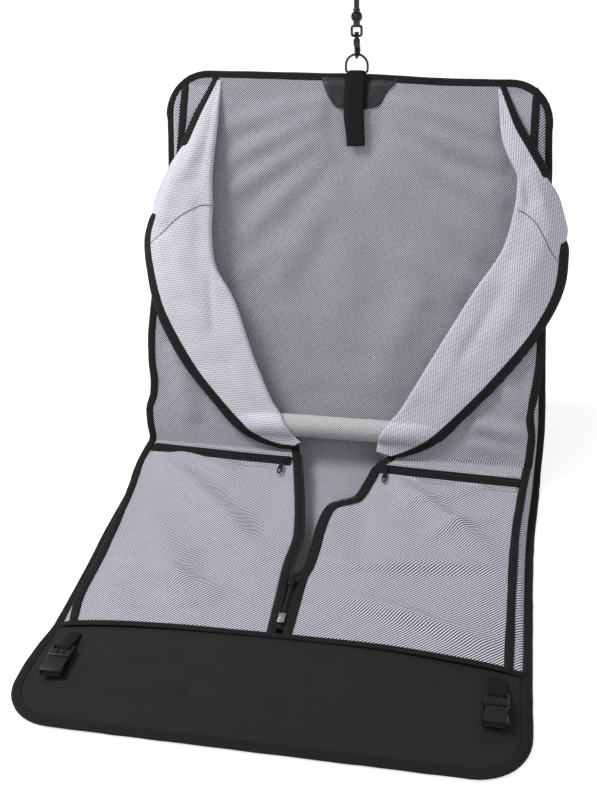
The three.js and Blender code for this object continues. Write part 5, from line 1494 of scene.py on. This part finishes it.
def make_ring():
    half = (RING_WIDTH - RING_WIRE) / 2
    bottom, middle = RING_LOW + RING_WIRE / 2, RING_TOP - RING_WIRE / 2 - half
    points = [(half * math.cos(a), middle + half * math.sin(a)) for a in np.linspace(0, math.pi, 34)]
    r = 5
    for side, first in ((-1, math.pi), (1, 1.5 * math.pi)):
        points += [(side * (half - r) + r * math.cos(a), bottom + r + r * math.sin(a))
                   for a in np.linspace(first, first + 0.5 * math.pi, 10)]
    path = np.array([(x, 0, z - HANG) for x, z in points]) / 1000
    obj = wire("ring", path, RING_WIRE / 2, GUNMETAL, True, 20)
    on(obj, "d_ring", "d_ring", slot="metal")


def make_snap():
    eye = RING_TOP - RING_WIRE - 0.6 + 6
    r = 6 + 1.9
    points = [(0, 54), (1.5, 52.5), (4.6, 51)] + [
        (r * math.cos(a), eye + r * math.sin(a)) for a in np.linspace(0.62, -math.pi * 0.86, 26)]
    f = route(points)(np.linspace(0, len(points) - 1, 60))
    path = np.stack([0 * f[0], f[0], f[1] - HANG], -1) / 1000
    run = np.linspace(0, 1, 60)
    thick = 1.0 - 0.22 * ease(run, 0.75, 1.0)
    flat = (1.9 - 0.95 * ease(run, 0.3, 0.75)) * thick
    hook = wire("h", path, 2.45, GUNMETAL, False, 18, np.stack([thick, flat], -1), (1, 0, 0))
    profile = [(0.6, 47.5), (3.6, 48), (4.7, 49.4), (5.0, 52.5), (5.1, 56), (4.8, 58.5), (4.2, 60.2), (3.2, 61),
               (2.3, 61.4), (2.3, 67.2), (3.6, 67.3), (4.0, 67.9), (4.0, 69.0), (3.2, 69.6), (0.5, 69.7)]
    barrel = lathe("barrel", profile, (0, 0, -HANG), (0, 0, 1), GUNMETAL, 36)
    obj = join("snap", [hook, barrel])
    on(obj, "snap_hook", "snap_hook", slot="metal")
    a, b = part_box("snap_gate")
    cx, cy = (a[0] + b[0]) * 500, (a[1] + b[1]) * 500
    low, high = a[2] * 1000, b[2] * 1000
    profile = [(0.8, low), (1.35, low + 0.5), (1.3, high - 0.5), (0.8, high)]
    gate = lathe("gate", profile, (cx, cy, 0), (0, 0, 1), GUNMETAL, 20)
    on(gate, "snap_gate", "snap_gate", slot="metal")


def make_yoke():
    def loop(w, low, high, r, y=0.0):
        points = []
        corners = ((w - r, high - r, 0), (-(w - r), high - r, 90), (-(w - r), low + r, 180), (w - r, low + r, 270))
        for cx, cz, a0 in corners:
            for k in range(7):
                a = math.radians(a0 + 15 * k)
                points.append((cx + r * math.cos(a), cz + r * math.sin(a)))
        return np.array([(x, y, z - HANG) for x, z in points]) / 1000

    path = loop(7.4, 64.2, 78.6, 3.4)
    normal = (0, 1, 0)
    side, upward = frames(path, normal, True)
    section = []
    for a in np.linspace(0, 2 * math.pi, 21)[:-1]:
        c = math.cos(a)
        section.append((1.9 * c * abs(c) ** -0.3 if abs(c) > 1e-6 else 0, 3.6 * math.sin(a)))
    parts = [sweep("f", path, side, upward, section, GUNMETAL, True)]
    for sign in (-1, 1):
        y = sign * (2.2 + 0.3 + 1.0)
        parts.append(rounded("ear", (9, 2, 15), (0, y, 85.5 - HANG), GUNMETAL, 0.7))
        boss = [(3.4, -1.0), (4.4, -0.6), (4.5, 0.6), (3.6, 1.0)]
        rivet = [(2.2, -0.5), (2.0, 0.3), (1.2, 0.7)]
        parts.append(lathe("boss", boss, (0, y, HOOK_PIVOT - HANG), (0, 1, 0), GUNMETAL, 28))
        parts.append(lathe("rivet", rivet, (0, sign * 4.6, HOOK_PIVOT - HANG), (0, sign, 0), GUNMETAL, 24))
    parts.append(lathe("pin", [(2.0, -4.5), (2.0, 4.5)], (0, 0, HOOK_PIVOT - HANG), (0, 1, 0), GUNMETAL, 24))
    on(join("yoke", parts), "swivel_yoke", "swivel_yoke", slot="metal")


def make_hook():
    centre, bend = HANG - 24, 28
    start = 92 + 6.5
    points = [(0, start), (0, 106), (0, 114), (0, 121)] + [
        (bend * math.cos(a), centre + bend * math.sin(a)) for a in np.linspace(1.05, -0.15, 22) * math.pi]
    f = route(points)(np.linspace(0, len(points) - 1, 120))
    path = np.stack([f[0], 0 * f[0], f[1] - HANG], -1) / 1000
    rod = wire("rod", path, 4.0, GUNMETAL, False, 24)
    tip = path[-1] * 1000
    ball = lathe("ball", [(0.3, -4.8), (2.6, -4.0), (4.2, -2.2), (4.7, 0), (4.2, 2.2), (2.6, 4.0), (0.3, 4.8)], tuple(tip),
                 (0.3, 0, 1), GUNMETAL, 28)
    eye = lathe("eye", [(2.3, -2.0), (7.2, -2.2), (8.2, -1.5), (8.5, 0), (8.2, 1.5), (7.2, 2.2), (2.3, 2.0)],
                (0, 0, 92 - HANG), (0, 1, 0), GUNMETAL, 40)
    collar = lathe("collar", [(4.0, 99.5), (5.2, 100.2), (5.4, 101.5), (5.2, 102.8), (4.0, 103.6)], (0, 0, -HANG), (0, 0, 1),
                   GUNMETAL, 32)
    on(join("hook", [rod, ball, eye, collar]), "hanging_hook", "hanging_hook", slot="metal")


# Camera, floor and light
FLOOR_HEIGHT, FLOOR_REACH = -0.7322, 9.0
FLOOR_COLOR, FLOOR_GLOW = (0.86, 0.86, 0.86), 0.62
WORLD_STRENGTH = 0.41
CAMERA_PLACE = (0.237, -1.695, 0.215)
CAMERA_TURN = (11.5, 29.5, -1.9)
CAMERA_LENS = 49.5


def make_camera():
    yaw, pitch, roll = (math.radians(a) for a in CAMERA_TURN)
    ahead = Vector((-math.sin(yaw) * math.cos(pitch), math.cos(yaw) * math.cos(pitch), -math.sin(pitch)))
    flat = Vector((math.cos(yaw), math.sin(yaw), 0))
    upward = flat.cross(ahead)
    right = flat * math.cos(roll) + upward * math.sin(roll)
    top = upward * math.cos(roll) - flat * math.sin(roll)
    data = bpy.data.cameras.new("camera")
    data.lens, data.sensor_width = CAMERA_LENS, 36
    camera = bpy.data.objects.new("camera", data)
    bpy.context.scene.collection.objects.link(camera)
    turn = Matrix((right, top, -ahead)).transposed().to_4x4()
    camera.matrix_world = Matrix.Translation(CAMERA_PLACE) @ turn
    bpy.context.scene.camera = camera


def make_stage():
    mesh = bpy.data.meshes.new("floor")
    z, w = FLOOR_HEIGHT, FLOOR_REACH
    mesh.from_pydata([(-w, -w, z), (w, -w, z), (w, w, z), (-w, w, z)], [], [(0, 1, 2, 3)])
    floor = bpy.data.objects.new("floor", mesh)
    bpy.context.scene.collection.objects.link(floor)
    m = bpy.data.materials.new("floor_white")
    m.use_nodes = True
    t = m.node_tree
    shader = t.nodes["Principled BSDF"]
    shader.inputs["Base Color"].default_value = (*FLOOR_COLOR, 1)
    shader.inputs["Roughness"].default_value = 0.9
    path = t.nodes.new("ShaderNodeLightPath")
    glow = t.nodes.new("ShaderNodeEmission")
    glow.inputs["Color"].default_value = (1, 1, 1, 1)
    both = t.nodes.new("ShaderNodeAddShader")
    seen = path.outputs["Is Camera Ray"]
    for kind in ("Is Glossy Ray", "Is Transmission Ray"):
        add = t.nodes.new("ShaderNodeMath")
        add.operation, add.use_clamp = "ADD", True
        t.links.new(seen, add.inputs[0])
        t.links.new(path.outputs[kind], add.inputs[1])
        seen = add.outputs[0]
    share = t.nodes.new("ShaderNodeMath")
    share.operation = "MULTIPLY"
    share.inputs[1].default_value = FLOOR_GLOW
    t.links.new(seen, share.inputs[0])
    t.links.new(share.outputs[0], glow.inputs["Strength"])
    t.links.new(shader.outputs[0], both.inputs[0])
    t.links.new(glow.outputs[0], both.inputs[1])
    t.links.new(both.outputs[0], t.nodes["Material Output"].inputs["Surface"])
    mesh.materials.append(m)


def make_light():
    world = bpy.data.worlds.new("studio")
    world.use_nodes = True
    bpy.context.scene.world = world
    t = world.node_tree
    soft = t.nodes["Background"]
    soft.inputs["Color"].default_value = (1, 1, 1, 1)
    soft.inputs["Strength"].default_value = WORLD_STRENGTH
    seen = t.nodes.new("ShaderNodeBackground")
    seen.inputs["Color"].default_value = (1, 1, 1, 1)
    seen.inputs["Strength"].default_value = 1.0
    path = t.nodes.new("ShaderNodeLightPath")
    add = t.nodes.new("ShaderNodeMath")
    add.operation, add.use_clamp = "ADD", True
    blend = t.nodes.new("ShaderNodeMixShader")
    t.links.new(path.outputs["Is Camera Ray"], add.inputs[0])
    t.links.new(path.outputs["Is Transmission Ray"], add.inputs[1])
    t.links.new(add.outputs[0], blend.inputs[0])
    t.links.new(soft.outputs[0], blend.inputs[1])
    t.links.new(seen.outputs[0], blend.inputs[2])
    t.links.new(blend.outputs[0], t.nodes["World Output"].inputs["Surface"])

    def area(name, place, aim, size, power):
        data = bpy.data.lights.new(name, "AREA")
        data.shape, data.size, data.energy = "SQUARE", size, power
        lamp = bpy.data.objects.new(name, data)
        bpy.context.scene.collection.objects.link(lamp)
        way = Vector(aim) - Vector(place)
        lamp.matrix_world = Matrix.Translation(place) @ way.to_track_quat("-Z", "Y").to_matrix().to_4x4()

    area("key", (-1.9, -0.4, 2.1), (0, -0.4, -0.5), 1.0, 72)
    area("fill", (2.2, -1.6, 0.9), (0, -0.35, -0.5), 2.0, 8)


make_camera()
make_stage()
make_light()
make_shell()
make_lining()
make_outer_binding()
make_sides()
make_front_panels()
make_flaps()
make_centre_zip()
make_pocket_zips()
make_bottom()
make_bolster()
make_patch()
make_strap()
make_ring()
make_snap()
make_yoke()
make_hook()

bpy.context.scene.view_settings.view_transform = "Standard"
